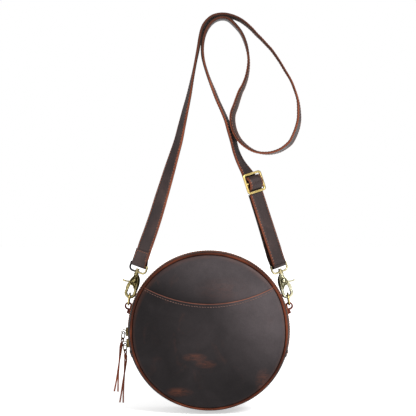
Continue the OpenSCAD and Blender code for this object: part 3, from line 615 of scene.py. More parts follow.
# Piping: a leather roll, the gusset's turned edge beside it, and the flange that both are sewn through
def oval(r, y, half_r, half_y, n):
    """A closed profile of n points for the lathe."""
    return [(r + half_r * cos(TURN * k / n), y + half_y * sin(TURN * k / n)) for k in range(n)]


FLANGE = [(90.4, 30.1), (94.9, 30.1), (95.4, 29.7), (95.0, 29.0), (90.4, 29.0)]
for which, s, seed in (("front", -1, 4.0), ("back", 1, 9.0)):
    roll = lathe(f"{which}_piping_roll", oval(PIPE_R, s * PIPE_Y, PIPE_THICK_R, PIPE_THICK_R, 18), 0, 360,
                 300, [edge_leather], bumpy=0.22, size=13.0, seed=seed)
    welt = lathe(f"{which}_welt", oval(95.5, s * 29.3, 0.8, 0.7, 10), 0, 360, 300,
                 [plain_leather], bumpy=0.16, size=9.0, seed=2.0)
    flange = lathe(f"{which}_flange", [(r, s * y) for r, y in FLANGE][::s], 0, 360, 200, [plain_leather])
    if which == "front":
        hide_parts("front_piping_lower", "front_piping_upper")
        for o in (roll, welt, flange):
            across_fold(o)
    else:
        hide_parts("back_piping")
        for o in (roll, welt, flange):
            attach(o, "bag")

# Gusset: bulged leather bands and the zip strips
HALF, BULGE, LEATHER_T, LINING_T = 29.2, 4.6, 1.8, 0.8
ARC_R = (HALF ** 2 + BULGE ** 2) / (2 * BULGE)
ZIP_ENDS, GUSSET_ENDS = (-14, 194), (194, 346)


def crest(y, below=0.0):
    """The gusset's radius at y, or a depth below it."""
    return BAG_R - ARC_R + sqrt((ARC_R - below) ** 2 - y * y)


def band(name, y0, y1, below, thick, n, roll, start, end, steps, mats, **bumps):
    """A curved band of the gusset, y0 to y1 wide, below its crest by a depth; roll eases its edges."""
    ys = [y0 + (y1 - y0) * i / n for i in range(n + 1)]
    top = [(crest(y, below) - (roll if i in (0, n) else 0.0), y) for i, y in enumerate(ys)]
    low = [(crest(y, below + thick), y) for y in reversed(ys)]
    return lathe(name, top + low, start, end, steps, mats, cut=(n, 2 * n + 1) if mats[1:] else (), **bumps)


lower = band("gusset_leather", -HALF, HALF, 0, LEATHER_T, 16, 0.3, *GUSSET_ENDS, 170,
             [plain_leather, raw_edge], bumpy=0.4, size=34.0, seed=6.0)
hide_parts("lower_gusset")
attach(lower, "bag")
lower_cloth = band("gusset_cloth", -HALF, HALF, LEATHER_T, LINING_T, 12, 0.0, *GUSSET_ENDS, 120,
                   [lining_cloth])
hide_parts("gusset_lining")
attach(lower_cloth, "bag")
strip_back = band("zip_strip_back_leather", -2.9, HALF, 0, LEATHER_T, 12, 0.5, *ZIP_ENDS, 240,
                  [plain_leather, raw_edge], bumpy=0.35, size=30.0, seed=3.0)
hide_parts("zip_strip_back")
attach(strip_back, "bag")
strip_front = band("zip_strip_front_leather", -HALF, -13.1, 0, LEATHER_T, 8, 0.5, -13.9, 193.9, 240,
                   [plain_leather, raw_edge], bumpy=0.35, size=30.0, seed=3.0)
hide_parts("zip_strip_front")
across_fold(strip_front)


def zip_stitches(name, y):
    """A row of thread beside the zip."""
    r = crest(y) + 0.02
    step = degrees(3.2 / r)
    places, deg = [], -13 + step / 2
    while deg < 193:
        places.append((ring_point(r, y, deg), ring_point(1, 0, deg + 90), ring_point(1, 0, deg)))
        deg += step
    return stitches(name, places, [stitch_thread], 2.6, 0.7, 0.45)


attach(zip_stitches("zip_stitches_back", -0.4), "bag")
across_fold(zip_stitches("zip_stitches_front", -15.6))
# Seam where each end of the zip meets the lower gusset: an overlapping edge and a row of thread across
for k, (start, end, row) in enumerate(((-18.2, -14.05, -15.3), (194.05, 198.2, 195.3))):
    lap = band(f"gusset_lap_{k}", -HALF + 0.4, HALF - 0.4, -0.9, 1.0, 16, 0.3, start, end, 8, [plain_leather])
    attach(lap, "bag")
    places = [(ring_point(crest(y) + 0.92, y, row), Vector((0, 1, 0)), ring_point(1, 0, row))
              for y in (-26.4 + 3.3 * i for i in range(17))]
    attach(stitches(f"gusset_seam_stitches_{k}", places, [stitch_thread], 2.7, 0.8, 0.5), "bag")

# Zip tapes, and single teeth between a foot on the tape and a tip at the middle of the zip
tape_back = band("zip_cloth_back", -7.95, -1.0, LEATHER_T, 0.8, 4, 0.0, *ZIP_ENDS, 200, [tape_cloth])
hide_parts("zip_tape_back")
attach(tape_back, "bag")
tape_front = band("zip_cloth_front", -15.0, -8.05, LEATHER_T, 0.8, 4, 0.0, -13.8, 193.8, 200, [tape_cloth])
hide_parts("zip_tape_front")
across_fold(tape_front)
TEETH_R, TOOTH_PITCH, TEETH_FROM, TEETH_SPAN = 99.0, 2.6, -12.7, 205.2


def zip_row(name, y_foot, y_tip, phase):
    """Single teeth round the zip; phase shifts them by a share of their pitch."""
    verts, faces = [], []
    pitch = degrees(TOOTH_PITCH / TEETH_R)
    s = 1 if y_tip > y_foot else -1
    sections = ((y_foot, 0.62, 97.95, 99.0), (y_foot + s * 0.9, 0.8, 97.9, 99.25),
                (y_tip - s * 0.9, 0.8, 97.9, 99.3), (y_tip - s * 0.3, 0.62, 98.0, 99.2),
                (y_tip, 0.35, 98.1, 99.0))
    for i in range(int(TEETH_SPAN / pitch)):
        middle = TEETH_FROM + pitch * (i + phase)
        rings = []
        for y, half_l, low, high in sections:
            turn = degrees(half_l / TEETH_R)
            corners = ((low, -turn), (low, turn), (high, 0.8 * turn), (high, -0.8 * turn))
            rings.append([metres(*ring_point(r, y, middle + d)) for r, d in corners[::-s]])
        v, f, _ = sweep(rings)
        faces += [[len(verts) + k for k in face] for face in f]
        verts += v
    return mesh_object(name, verts, faces, [zip_metal], smooth=False)


teeth_back = zip_row("zip_metal_back", -5.9, -8.6, 0.0)
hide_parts("zip_teeth_back")
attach(teeth_back, "bag")
teeth_front = zip_row("zip_metal_front", -10.1, -7.4, 0.5)
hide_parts("zip_teeth_front")
across_fold(teeth_front)


def lining(name, side):
    """A soft cloth disc inside a panel; side is the way its face looks."""
    near = -side * (BACK_Y - LINING_GAP)
    far = -side * (BACK_Y - LINING_GAP - LINING_DISC_T)
    return disc(name, side, [lining_cloth],
                lambda x, z, r: far + (wobble(x, 0, z, 26.0, 0.35, 4.0) if r else 0.0),
                near, lambda share: LINING_R * share, 24, 96)


cloth_back = lining("lining_cloth_back", -1)
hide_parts("back_lining")
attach(cloth_back, "bag")
cloth_front = lining("lining_cloth_front", 1)
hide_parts("front_lining_lower", "front_lining_upper")
across_fold(cloth_front)

# The shell settles: its low side flattens, and at the top its rims stand and its crest sinks
LOW_RISE, CREST_SINK, RIM_STAND = 2.2, 1.4, 3.0
for name in made:
    piece = bpy.data.objects.get(name)
    if piece:
        for v in piece.data.vertices:
            x, y, z = v.co * 1000 + HANG
            if z < 0:
                v.co.z += LOW_RISE * (z / BAG_R) ** 2 / 1000
                continue
            u = min(1.0, z / 70)
            grow = RIM_STAND * u * u * (3 - 2 * u) * (y / 31) ** 2 / BAG_R / 1000
            v.co.x += x * grow
            v.co.z += z * grow - CREST_SINK * (z / BAG_R) ** 2 / 1000

# Strap: one band from the left eye over the unseen peg, round a loop and down to the right eye
JOINT_AT = {j["name"]: Vector(j["pos_m"]) * 1000 + HANG for j in frame["joints"] if j.get("pos_m")}
BAG_D, STRAP_W, STRAP_T, FOLD_N, TAB_Y, SEAM_IN = 2 * BAG_R, 20.0, 2.6, 2.61, 7.0, 1.8
FOLD_CLOSE, FLAP_L, RETURN_N, STRAP_BACK, STRAP_BOW = 8.35, 18.0, -0.39, 2 * FOLD_N, 2.0
BUCKLE_W, BUCKLE_L, BUCKLE_BAR_W, BUCKLE_BAR_T, BUCKLE_UP = 28.6, 26.0, 3.0, 2.6, 106.0
LEFT_TURN, RIGHT_TURN, TOP_TURN, CLIP_LEAN = 62.0, 56.0, 40.0, radians(18.0)
STRAIGHT_UP = BUCKLE_UP + 0.64 * BUCKLE_L
LEFT_BAR, RIGHT_BAR = JOINT_AT["eye_left_swing"], JOINT_AT["eye_right_swing"]
LEFT_RUN = Vector((sin(CLIP_LEAN), 0, cos(CLIP_LEAN)))
RIGHT_RUN = Vector((LEFT_RUN.x, 0, -LEFT_RUN.z))
# Places of the strap as shares of the bag's width, with the turn of its face, as in its solid
STRAP_SHARES = [
    (-0.358, 0.619, 59), (-0.3275, 0.7115, 56), (-0.2995, 0.8045, 53), (-0.2715, 0.897, 48),
    (-0.244, 0.9895, 43), (-0.216, 1.082, 36), (-0.1885, 1.1745, 30), (-0.167, 1.2675, 25),
    (-0.1455, 1.36, 20), (-0.1235, 1.4525, 14), (-0.105, 1.545, 8), (-0.0865, 1.6375, 3),
    (-0.068, 1.7305, 1), (-0.05, 1.83, 0), (-0.0325, 1.8825, 0), (-0.0025, 1.92, 0),
    (0.035, 1.943, 0), (0.0875, 1.951, 0), (0.1425, 1.942, 0), (0.191, 1.9225, 0),
    (0.228, 1.8975, 0), (0.265, 1.865, 1), (0.2965, 1.831, 2), (0.324, 1.8045, 3),
    (0.3645, 1.761, 4), (0.392, 1.7305, 4), (0.4355, 1.6685, 5), (0.4725, 1.607, 5),
    (0.5095, 1.545, 6), (0.534, 1.4835, 6), (0.5525, 1.4215, 7), (0.559, 1.36, 11),
    (0.5585, 1.298, 14), (0.5435, 1.2365, 16), (0.5155, 1.1745, 15), (0.488, 1.144, 12),
    (0.445, 1.115, 8), (0.395, 1.0985, 4), (0.345, 1.095, 0), (0.29, 1.105, -5),
    (0.24, 1.1315, -9), (0.1925, 1.175, -13), (0.161, 1.23, -16), (0.147, 1.29, -17),
    (0.149, 1.34, -17), (0.167, 1.391, -16), (0.194, 1.47, -13), (0.216, 1.514, -10),
    (0.2365, 1.575, -7), (0.247, 1.65, -4), (0.243, 1.715, -2), (0.2275, 1.78, 0),
    (0.2025, 1.8375, 0), (0.17, 1.88, 0), (0.125, 1.923, 0), (0.0875, 1.9335, 0),
    (0.05, 1.926, 0), (0.015, 1.9025, 0), (-0.0125, 1.865, 0), (-0.0315, 1.815, 0),
    (-0.04, 1.755, 0), (-0.038, 1.7, 0), (-0.028, 1.65, 2), (-0.013, 1.6, 4),
    (0.0065, 1.545, 6), (0.031, 1.4835, 9), (0.0555, 1.4215, 10), (0.0835, 1.36, 11),
    (0.11, 1.298, 13), (0.13, 1.2365, 17), (0.1515, 1.1745, 22)]


def smooth(points, steps):
    """Curve through points of any number of values."""
    out = []
    last = len(points) - 1
    for i in range(last):
        a, b, c, d = points[max(i - 1, 0)], points[i], points[i + 1], points[min(i + 2, last)]
        for k in range(steps):
            u = k / steps
            out.append(tuple((2 * q + (r - p) * u + (2 * p - 5 * q + 4 * r - s) * u * u
                              + (3 * q - p - 3 * r + s) * u ** 3) / 2 for p, q, r, s in zip(a, b, c, d)))
    return out + [tuple(points[last])]


def on_run(bar, run, s, turn, off):
    """A point of the strap's route (x, z, turn, offset), s mm along a straight run from a bar."""
    return (bar.x + s * run.x, bar.z + s * run.z, turn, off)


def at_left(s):
    return on_run(LEFT_BAR, LEFT_RUN, s, LEFT_TURN, 0.0)


def at_right(s, off):
    return on_run(RIGHT_BAR, -RIGHT_RUN, s, RIGHT_TURN, off)


def face_of(t, turn):
    """Direction of the strap's grain face for a travel direction and a turn to the front."""
    w = radians(turn)
    return cos(w) * Vector((-t.z, 0, t.x)) + sin(w) * Vector((0, -1, 0))


def strap_frames(route):
    """Centre, travel, across and face directions along a route of x, z, turn and offset."""
    line = [Vector((x, TAB_Y, z)) for x, z, _, _ in route]
    out = []
    for i, (_, _, turn, off) in enumerate(route):
        t = heading(line, i)
        n = face_of(t, turn)
        out.append((line[i] + n * off, t, t.cross(n), n))
    return out


def plane_frames(points, origin, u, v, across):
    """Frames along points given in a plane of two directions, with a fixed across direction."""
    flat = [origin + u * p[0] + v * p[1] for p in points]
    out = []
    for i, c in enumerate(flat):
        t = heading(flat, i)
        out.append((c, t, across, across.cross(t)))
    return out


def strap_ribbon(name, frames, mats, thick=STRAP_T, groove=0.22):
    """Leather strap swept along frames: grain face, two-tone cut edges, flesh face; mats in that order."""
    h, e, g = STRAP_W / 2, thick / 2, SEAM_IN
    top = [(h - 0.2, e - 0.32), (h - 0.75, e - 0.02), (h - g + 0.45, e), (h - g, e - groove),
           (h - g - 0.5, e + 0.04), (h * 0.5, e + 0.06)]
    edge = [(h, e - 0.75), (h + 0.03, -e * 0.3), (h - 0.02, -e + 0.6)]
    under = [(h - 0.3, -e + 0.12), (h - 1.0, -e), (h - g, -e + groove), (h - g - 0.6, -e)]
    half = top[::-1] + edge + under
    section = [(-x, y) for x, y in top] + [(0, e + 0.03)] + half + [(0, -e)]
    section += [(-x, y) for x, y in under[::-1] + edge[::-1]]
    row_mats = [1] + [0] * 10 + [1, 1, 1, 2, 2] + [3] * 8 + [2, 2, 1, 1]
    rings = []
    for i, (c, _, a, n) in enumerate(frames):
        wave = 0.12 * noise.noise(Vector((i * 0.21, 0, 0)))
        # Fuller at the top left, where two runs lie together over the peg
        high = min(1.0, max(0.0, (c.z - 300) / 50)) * min(1.0, max(0.0, (55 - c.x) / 40))
        plump = 1 + 0.52 * high * high * (3 - 2 * high)
        rings.append([metres(*(c + a * (x * (1 + 0.004 * wave)) + n * (y * plump + wave * 0.3)))
                      for x, y in section])
    return swept(name, rings, mats, row_mats=row_mats)


STITCH_PITCH = 3.6


def strap_stitches(name, frames, faces, start=2.0):
    """Rows of thread beside both edges of the strap, on its grain face (1) or flesh face (-1)."""
    places = []
    for side in (-1, 1):
        for face in faces:
            pts = [c + a * (side * (STRAP_W / 2 - SEAM_IN)) + n * (face * (STRAP_T / 2 - 0.12))
                   for c, _, a, n in frames]
            spots = along_points(pts, STITCH_PITCH, start, start)
            places += [(p, d, frames[i][3] * face) for p, d, i in spots]
    return stitches(name, places, [strap_thread], 2.9, 0.85, 0.5)


STRAP_MATS = [strap_leather, raw_edge, dark_edge, inner_leather]
# The return layer's cut edges take the dark edge colour on both halves: painted shade, where it lies behind
# the front layer
RETURN_MATS = [strap_leather, dark_edge, dark_edge, inner_leather]
last_x, last_z, last_turn = STRAP_SHARES[-1]
strap_last = (BAG_D * last_x, BAG_D * last_z, last_turn, 0.0)
top_x, top_z, _, top_off = at_right(STRAIGHT_UP, FOLD_N - STRAP_BACK)
strap_top = (top_x, top_z, TOP_TURN, top_off)
way = [q - p for p, q in zip(strap_last, strap_top)]
route = [at_left(k) for k in (FOLD_CLOSE, FLAP_L, 2 * FLAP_L - FOLD_CLOSE)]
route += [(BAG_D * x, BAG_D * z, turn, 0.0) for x, z, turn in STRAP_SHARES]
for u in (1 / 3, 2 / 3):
    route.append((strap_last[0] + u * way[0], strap_last[1] + u * way[1],
                  strap_last[2] + u ** 3 * way[2], u * way[3] - STRAP_BOW))
route += [strap_top, at_right(BUCKLE_UP + BUCKLE_L / 4, FOLD_N - STRAP_BACK / 2)]
route += [at_right(k, FOLD_N) for k in (BUCKLE_UP - BUCKLE_L / 4, BUCKLE_UP - BUCKLE_L, 0.0)]
long_frames = strap_frames(smooth(route, 8))
strap = strap_ribbon("strap_leather_long", long_frames, STRAP_MATS)
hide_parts("strap_long")
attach(strap, "strap")
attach(strap_stitches("strap_stitches", long_frames, (1, -1)), "strap")

# Left end: the strap goes round the eye's bar and its flap is sewn back on the front
LEFT_N = face_of(LEFT_RUN, LEFT_TURN)
LEFT_A = LEFT_RUN.cross(LEFT_N)
LOOP_R, FLAP_T, FLAP_N = 2.5, 1.75, 2.3
half_turn = [pi * k / 14 for k in range(15)]
fold_path = smooth([(-0.05, FOLD_CLOSE - 0.3), (-0.9, 6.2), (-2.2, 3.0)]
                   + [(-LOOP_R * cos(w), -LOOP_R * sin(w)) for w in half_turn]
                   + [(2.7, 3.2), (2.5, 6.4), (2.32, 9.0), (FLAP_N, 13.0), (FLAP_N, FLAP_L)], 3)
fold_frames = plane_frames(fold_path, LEFT_BAR, LEFT_N, LEFT_RUN, -LEFT_A)
fold_left = strap_ribbon("strap_flap_left", fold_frames, [inner_leather, dark_edge, raw_edge, strap_leather],
                         FLAP_T, 0.1)
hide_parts("strap_fold_left")
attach(fold_left, "strap")
# The sewn flap has a row of thread across it and one down each side
on_flap = LEFT_BAR + LEFT_N * (FLAP_N + 0.82)
flap_end = on_flap + LEFT_RUN * (FLAP_L - 2.0)
flap_places = [(flap_end + LEFT_A * (3.5 * k), LEFT_A, LEFT_N) for k in range(-2, 3)]
for side in (-1, 1):
    edge = on_flap + LEFT_A * (side * (STRAP_W / 2 - SEAM_IN))
    flap_places += [(edge + LEFT_RUN * (FLAP_L - 4.4 - 3.4 * k), LEFT_RUN, LEFT_N) for k in range(3)]
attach(stitches("strap_flap_stitches", flap_places, [strap_thread], 2.7, 0.8, 0.5), "strap")

# Right end: round the other bar and back up behind, to the buckle
RIGHT_N = face_of(RIGHT_RUN, RIGHT_TURN)
RIGHT_A = RIGHT_RUN.cross(RIGHT_N)
RETURN_TOP = BUCKLE_UP - BUCKLE_L / 2 - 0.2
RETURN_SHARES = [(0.05, 1.15), (0.14, 1.4), (0.32, 0.9), (0.6, 0.35), (1.0, 0.0)]
half_turn = [pi * k / 12 for k in range(13)]
under_bar = [(FOLD_N * cos(w), -FOLD_N * sin(w)) for w in half_turn]
behind = [(RETURN_N - FOLD_N * n, RETURN_TOP * s) for s, n in RETURN_SHARES]
return_path = under_bar + smooth([under_bar[-1]] + behind, 5)[1:]
return_frames = plane_frames(return_path, RIGHT_BAR, RIGHT_N, -RIGHT_RUN, RIGHT_A)
strap_back = strap_ribbon("strap_leather_return", return_frames, RETURN_MATS)
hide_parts("strap_fold_right", "strap_return")
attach(strap_back, "strap")
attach(strap_stitches("strap_return_stitches", return_frames, (1,), 14.0), "strap")

# Buckle: round-edged bars, a centre bar, and the strap's bight over it
BUCKLE_AT = RIGHT_BAR - RIGHT_RUN * BUCKLE_UP + RIGHT_N * FOLD_N
LOW_N = STRAP_T / 2 + 0.3
BUCKLE_N = LOW_N + BUCKLE_BAR_T / 2
CORNER_R, CORNER_STEPS, SIDE_STEPS = 2.6, 8, 5
SQUARENESS, SECTION_STEPS, CENTRE_R, BIGHT_STEPS = 0.62, 20, 1.4, 36


def in_buckle(a, run, n):
    return BUCKLE_AT + RIGHT_A * a + RIGHT_RUN * run + RIGHT_N * n


def rounded_loop(w, h):
    """Points round a rectangle with round corners."""
    x, y = w / 2 - CORNER_R, h / 2 - CORNER_R
    corners = ((x, y), (-x, y), (-x, -y), (x, -y))
    out = []
    for i, (cx, cy) in enumerate(corners):
        for k in range(CORNER_STEPS + 1):
            a = radians(90 * (i + k / CORNER_STEPS))
            out.append((cx + CORNER_R * cos(a), cy + CORNER_R * sin(a)))
        x0, y0 = out[-1]
        next_x, next_y = corners[(i + 1) % 4]
        for k in range(1, SIDE_STEPS):
            out.append((x0 + (next_x - cx) * k / SIDE_STEPS, y0 + (next_y - cy) * k / SIDE_STEPS))
    return out


def squared(turn):
    """A cosine or sine bent towards a square section."""
    return copysign(abs(turn) ** SQUARENESS, turn)


def bar_loop(name, flat, mats, w, h):
    """A closed bar of rounded square section, w in the plane and h out of it."""
    pts = [in_buckle(a, r, BUCKLE_N) for a, r in flat]
    turns = [TURN * k / SECTION_STEPS for k in range(SECTION_STEPS)]
    rings = []
    for i, p in enumerate(pts):
        t = heading(pts, i, True)
        side = t.cross(RIGHT_N).normalized()
        rings.append([metres(*(p + side * (w / 2 * squared(cos(q))) + RIGHT_N * (h / 2 * squared(sin(q)))))
                      for q in turns])
    return swept(name, rings, mats, True)


loop = rounded_loop(BUCKLE_W - BUCKLE_BAR_W, BUCKLE_L - BUCKLE_BAR_W)
frame_bar = bar_loop("buckle_frame", loop, [golden], BUCKLE_BAR_W, BUCKLE_BAR_T)
half_bar = BUCKLE_W / 2 - BUCKLE_BAR_W + CENTRE_R
centre_pts = [in_buckle(half_bar * (k / 6 - 1), 0, LOW_N + CENTRE_R) for k in range(13)]
centre_bar = tube("buckle_centre_bar", centre_pts, CENTRE_R, [golden], 20, up=Vector((0, 0, 1)))
buckle = join("buckle_metal", [frame_bar, centre_bar])
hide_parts("buckle")
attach(buckle, "buckle")
# The bight is an arc over the centre bar whose ends lie inside the frame, clear of the strap
TOP_N, BIGHT_RISE = BUCKLE_N + CENTRE_R + 1.2 + STRAP_T, 1.3
half_b, rise_b = BUCKLE_L / 2 - BUCKLE_BAR_W - 0.3, TOP_N - LOW_N
bight_r = (half_b ** 2 + rise_b ** 2) / (2 * rise_b)
mid_r = bight_r - STRAP_T / 2
arc_n = TOP_N - bight_r
spread = acos((LOW_N + BIGHT_RISE - arc_n) / mid_r)
turns = [spread * (2 * k / BIGHT_STEPS - 1) for k in range(BIGHT_STEPS + 1)]
bight_frames = plane_frames([(mid_r * sin(w), arc_n + mid_r * cos(w)) for w in turns],
                            BUCKLE_AT, RIGHT_RUN, RIGHT_N, RIGHT_A)
bight = strap_ribbon("strap_bight_leather", bight_frames, STRAP_MATS)
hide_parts("strap_bight")
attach(bight, "buckle")
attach(strap_stitches("strap_bight_stitches", bight_frames, (1,)), "buckle")

# Tabs: a strip goes up the gusset, round the ring's wire and back down over itself
TAB_W, TAB_THICK, TAB_HOLE_R, TAB_ANGLE, TAB_SEAM, TAB_THREAD_Y = 7.0, 1.9, 2.8, 16.6, 12.4, 1.9
TAB_R = BAG_R + 4.0


def flat_ribbon(name, points, across, width, thick, mats, puff=0.06):
    """A plain leather strip along points in mm, its cut edges in the second material."""
    h, e = width / 2, thick / 2
    section = [(0.12 - h, e - 0.22), (0.4 - h, e), (0, e + puff), (h - 0.4, e), (h - 0.12, e - 0.22), (h, 0),
               (h - 0.12, 0.22 - e), (h - 0.4, -e), (0, -e), (0.4 - h, -e), (0.12 - h, 0.22 - e), (-h, 0)]
    row_mats = [1, 0, 0, 1, 1, 1, 1, 0, 0, 1, 1, 1]
    rings = []
    for i, (c, a) in enumerate(zip(points, across)):
        n = a.cross(heading(points, i)).normalized()
        rings.append([metres(*(c + a * x + n * y)) for x, y in section])
    return swept(name, rings, mats, row_mats=row_mats)


for side, which in ((1, "right"), (-1, "left")):
    out_dir, up_dir = ring_point(1, 0, TAB_ANGLE), ring_point(1, 0, TAB_ANGLE + 90)
    turn_r = TAB_HOLE_R + TAB_THICK / 2
    pts = [ring_point(BAG_R + TAB_THICK / 2, 0, d) for d in (11.3, 12.1, 12.9, 13.8, 14.6)]
    for w in range(40, 291, 10):
        w = radians(w)
        pts.append(out_dir * (TAB_R - turn_r * cos(w)) + up_dir * (turn_r * sin(w)))
    pts += [ring_point(BAG_R + 1.55 * TAB_THICK, 0, d) for d in (13.0, 12.3, 11.6)]
    pts = [Vector(p) for p in smooth([(side * p.x, TAB_Y, p.z) for p in pts], 2)]
    tab = flat_ribbon(f"tab_leather_{which}", pts, [Vector((0, side, 0))] * len(pts), TAB_W, TAB_THICK,
                      [tab_leather, tab_leather])
    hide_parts(f"tab_{which}")
    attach(tab, "bag")
    out = ring_point(1, 0, TAB_SEAM)
    out.x *= side
    seam = out * (BAG_R + 2.07 * TAB_THICK + 0.05)
    places = [(seam + Vector((0, y, 0)), Vector((0, 1, 0)), out)
              for y in (TAB_Y - TAB_THREAD_Y, TAB_Y + TAB_THREAD_Y)]
    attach(stitches(f"tab_stitches_{which}", places, [strap_thread], 2.4, 0.8, 0.4), "bag")

# Thongs: a lace looped through each pull ring, knotted, with two hanging ends
PULL_LEANS, PULL_TURN, PULL_RING_L = {"lower": (-3, 6, 14), "upper": (10, 6, -18)}, 38.0, 9.3
LACE_W, LACE_T, LACE_L, LACE_SPREAD, LACE_STEPS = 1.9, 1.4, 54.5, 3.3, 26
LACE_LOOP_R, LOOP_STEPS, KNOT_L, KNOT_TURNS, KNOT_STEPS = 1.65, 24, 7.0, 3.6, 90


def spun(deg, axis):
    return Matrix.Rotation(radians(deg), 3, axis)


def thong(index, which):
    """One pull: two strands through the ring, a wrapped knot and two hanging ends."""
    lean_y, lean_low, lean_x = PULL_LEANS[which]
    lug = JOINT_AT[f"pull_{which}_swing"]
    upper = spun(lean_y, "Y") @ spun(lean_x, "X")
    lower = upper @ (spun(lean_low - lean_y, "Y") @ spun(-lean_x, "X"))
    side_a, side_b, axis = (upper @ Vector(v) for v in ((1, 0, 0), (0, 1, 0), (0, 0, -1)))
    loop_mid = lug + axis * PULL_RING_L
    pieces = []
    for s in (-1, 1):
        ring_pts = []
        for k in range(LOOP_STEPS):
            w = TURN * k / LOOP_STEPS
            round_it = Vector((LACE_LOOP_R * cos(w), s * 0.42, (LACE_LOOP_R + 1.3) * sin(w) - 1.3))
            ring_pts.append(loop_mid + upper @ (spun(-PULL_TURN, "Z") @ round_it))
        pieces.append(tube(f"lace_loop_{which}_{s}", ring_pts, 0.5, [lace_leather], 10, True, 1.25))
    knot_top = lug + axis * (PULL_RING_L + LACE_LOOP_R + 2.4)
    core = [knot_top + axis * (KNOT_L * k / 10) for k in range(11)]
    core_r = [1.15 + 0.3 * sin(pi * k / 10) for k in range(11)]
    pieces.append(tube(f"knot_core_{which}", core, core_r, [lace_leather], 14))
    wraps = []
    for k in range(KNOT_STEPS + 1):
        u = k / KNOT_STEPS
        w = TURN * KNOT_TURNS * u + 0.6
        swell = 1.28 + 0.16 * sin(pi * u)
        wraps.append(knot_top + axis * (0.8 + (KNOT_L - 1.6) * u)
                     + (side_a * cos(w) + side_b * sin(w)) * swell)
    pieces.append(tube(f"knot_wrap_{which}", wraps, 0.86, [lace_leather], 10, flat=0.8, up=axis))
    foot = knot_top + axis * (KNOT_L - 0.8)
    for s in (-1, 1):
        tip = lower @ spun(s * LACE_SPREAD, "Y")
        pts, across = [], []
        for k in range(LACE_STEPS + 1):
            u = k / LACE_STEPS
            bow = 0.5 * sin(pi * u) * s + 0.35 * sin(2.4 * pi * u + index + s)
            sway = 0.3 * sin(3.0 * u + s)
            pts.append(foot + tip @ Vector((s * LACE_W * 0.52 + bow * 0.5, sway, -LACE_L * u)))
            twist = radians(s * 14 * u)
            across.append((tip @ Vector((cos(twist), sin(twist), 0))).normalized())
        pieces.append(flat_ribbon(f"lace_end_{which}_{s}", pts, across, LACE_W, LACE_T,
                                  [lace_leather, lace_edge], 0.12))
    whole = join(f"thong_lace_{which}", pieces)
    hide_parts(f"thong_{which}")
    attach(whole, f"pull_{which}")


thong(0, "lower")
thong(1, "upper")

# Snap hooks: out runs away from the bag and s down from the D-eye's bar
LOOP_S, PIVOT_OUT, PIVOT_S, RIVET_OUT, RIVET_S, GATE_DEPTH = 35.35, 2.4, 23.09, 0.1, 21.2, 1.2
CLAW_TURN, CLAW_STEPS = 186, 12


def clip_point(side, out, s, y=0.0):
    """A place on the hook of one side, in mm about the bag's centre."""
    bar = RIGHT_BAR if side > 0 else LEFT_BAR
    down = Vector((side * sin(CLIP_LEAN), 0, -cos(CLIP_LEAN)))
    away = Vector((side * cos(CLIP_LEAN), 0, sin(CLIP_LEAN)))
    return bar + down * s + away * out + Vector((0, y, 0))


def clip_tube(name, side, points, mats, n=14, depth=None):
    """A bar through (out, s, radius) points, smoothed; round, or of a plain depth front to back."""
    line = smooth(points, 5)
    pts = [clip_point(side, out, s) for out, s, _ in line]
    bar = tube(name, pts, [r for _, _, r in line], mats, n)
    if depth:
        middle = metres(*pts[0]).y
        for v in bar.data.vertices:
            v.co.y = max(middle - depth / 1000, min(middle + depth / 1000, v.co.y))
    return bar


def clip_plate(name, side, outline, layers, mats):
    """A plate with eased edges: layers are (inset, y) from its face to its other face."""
    rings = []
    for inset, y in layers:
        ring = []
        for i, (out, s) in enumerate(outline):
            before, after = outline[i - 1], outline[(i + 1) % len(outline)]
            dx, dz = after[0] - before[0], after[1] - before[1]
            size = hypot(dx, dz)
            ring.append(metres(*clip_point(side, out - inset * dz / size, s + inset * dx / size, y)))
        rings.append(ring)
    return swept(name, rings, mats)


def clip_pin(name, side, out, s, steps, mats, n=24):
    """A round pin from front to back through (y, radius) steps."""
    return tube(name, [clip_point(side, out, s, y) for y, _ in steps], [r for _, r in steps], mats, n,
                up=Vector((1, 0, 0)))


def closed_smooth(points, steps):
    """Closed curve through points."""
    long_way = smooth(points[-2:] + points + points[:2], steps)
    return long_way[2 * steps:-steps - 1]


CHEEK = closed_smooth([(0, 12.2), (2.1, 13.2), (2.7, 16), (4.3, 19), (5.3, 22.4), (4.7, 25.6), (2.6, 27.2),
                       (0.2, 27.6), (-1.6, 29.6), (-3.2, 31.4), (-4.6, 28.4), (-4.9, 22.6), (-3.9, 17),
                       (-2.1, 13.2)], 5)
CORE = [p for p in CHEEK if p[1] < 20.2 or p[0] < -1.0]
CHEEK_LAYERS = ((0.75, 2.15), (0.7, 2.75), (0.2, 2.7), (0.0, 2.35), (0.0, 1.5))
RECESS_LAYERS = ((0.8, 2.2), (0.8, 1.9))
SEAT = ((1.9, 3.1), (2.82, 3.0), (2.84, 0.2))
RIVET = ((1.9, 2.2), (2.9, 2.15), (3.3, 1.8), (3.55, 1.0), (3.65, 0.2))
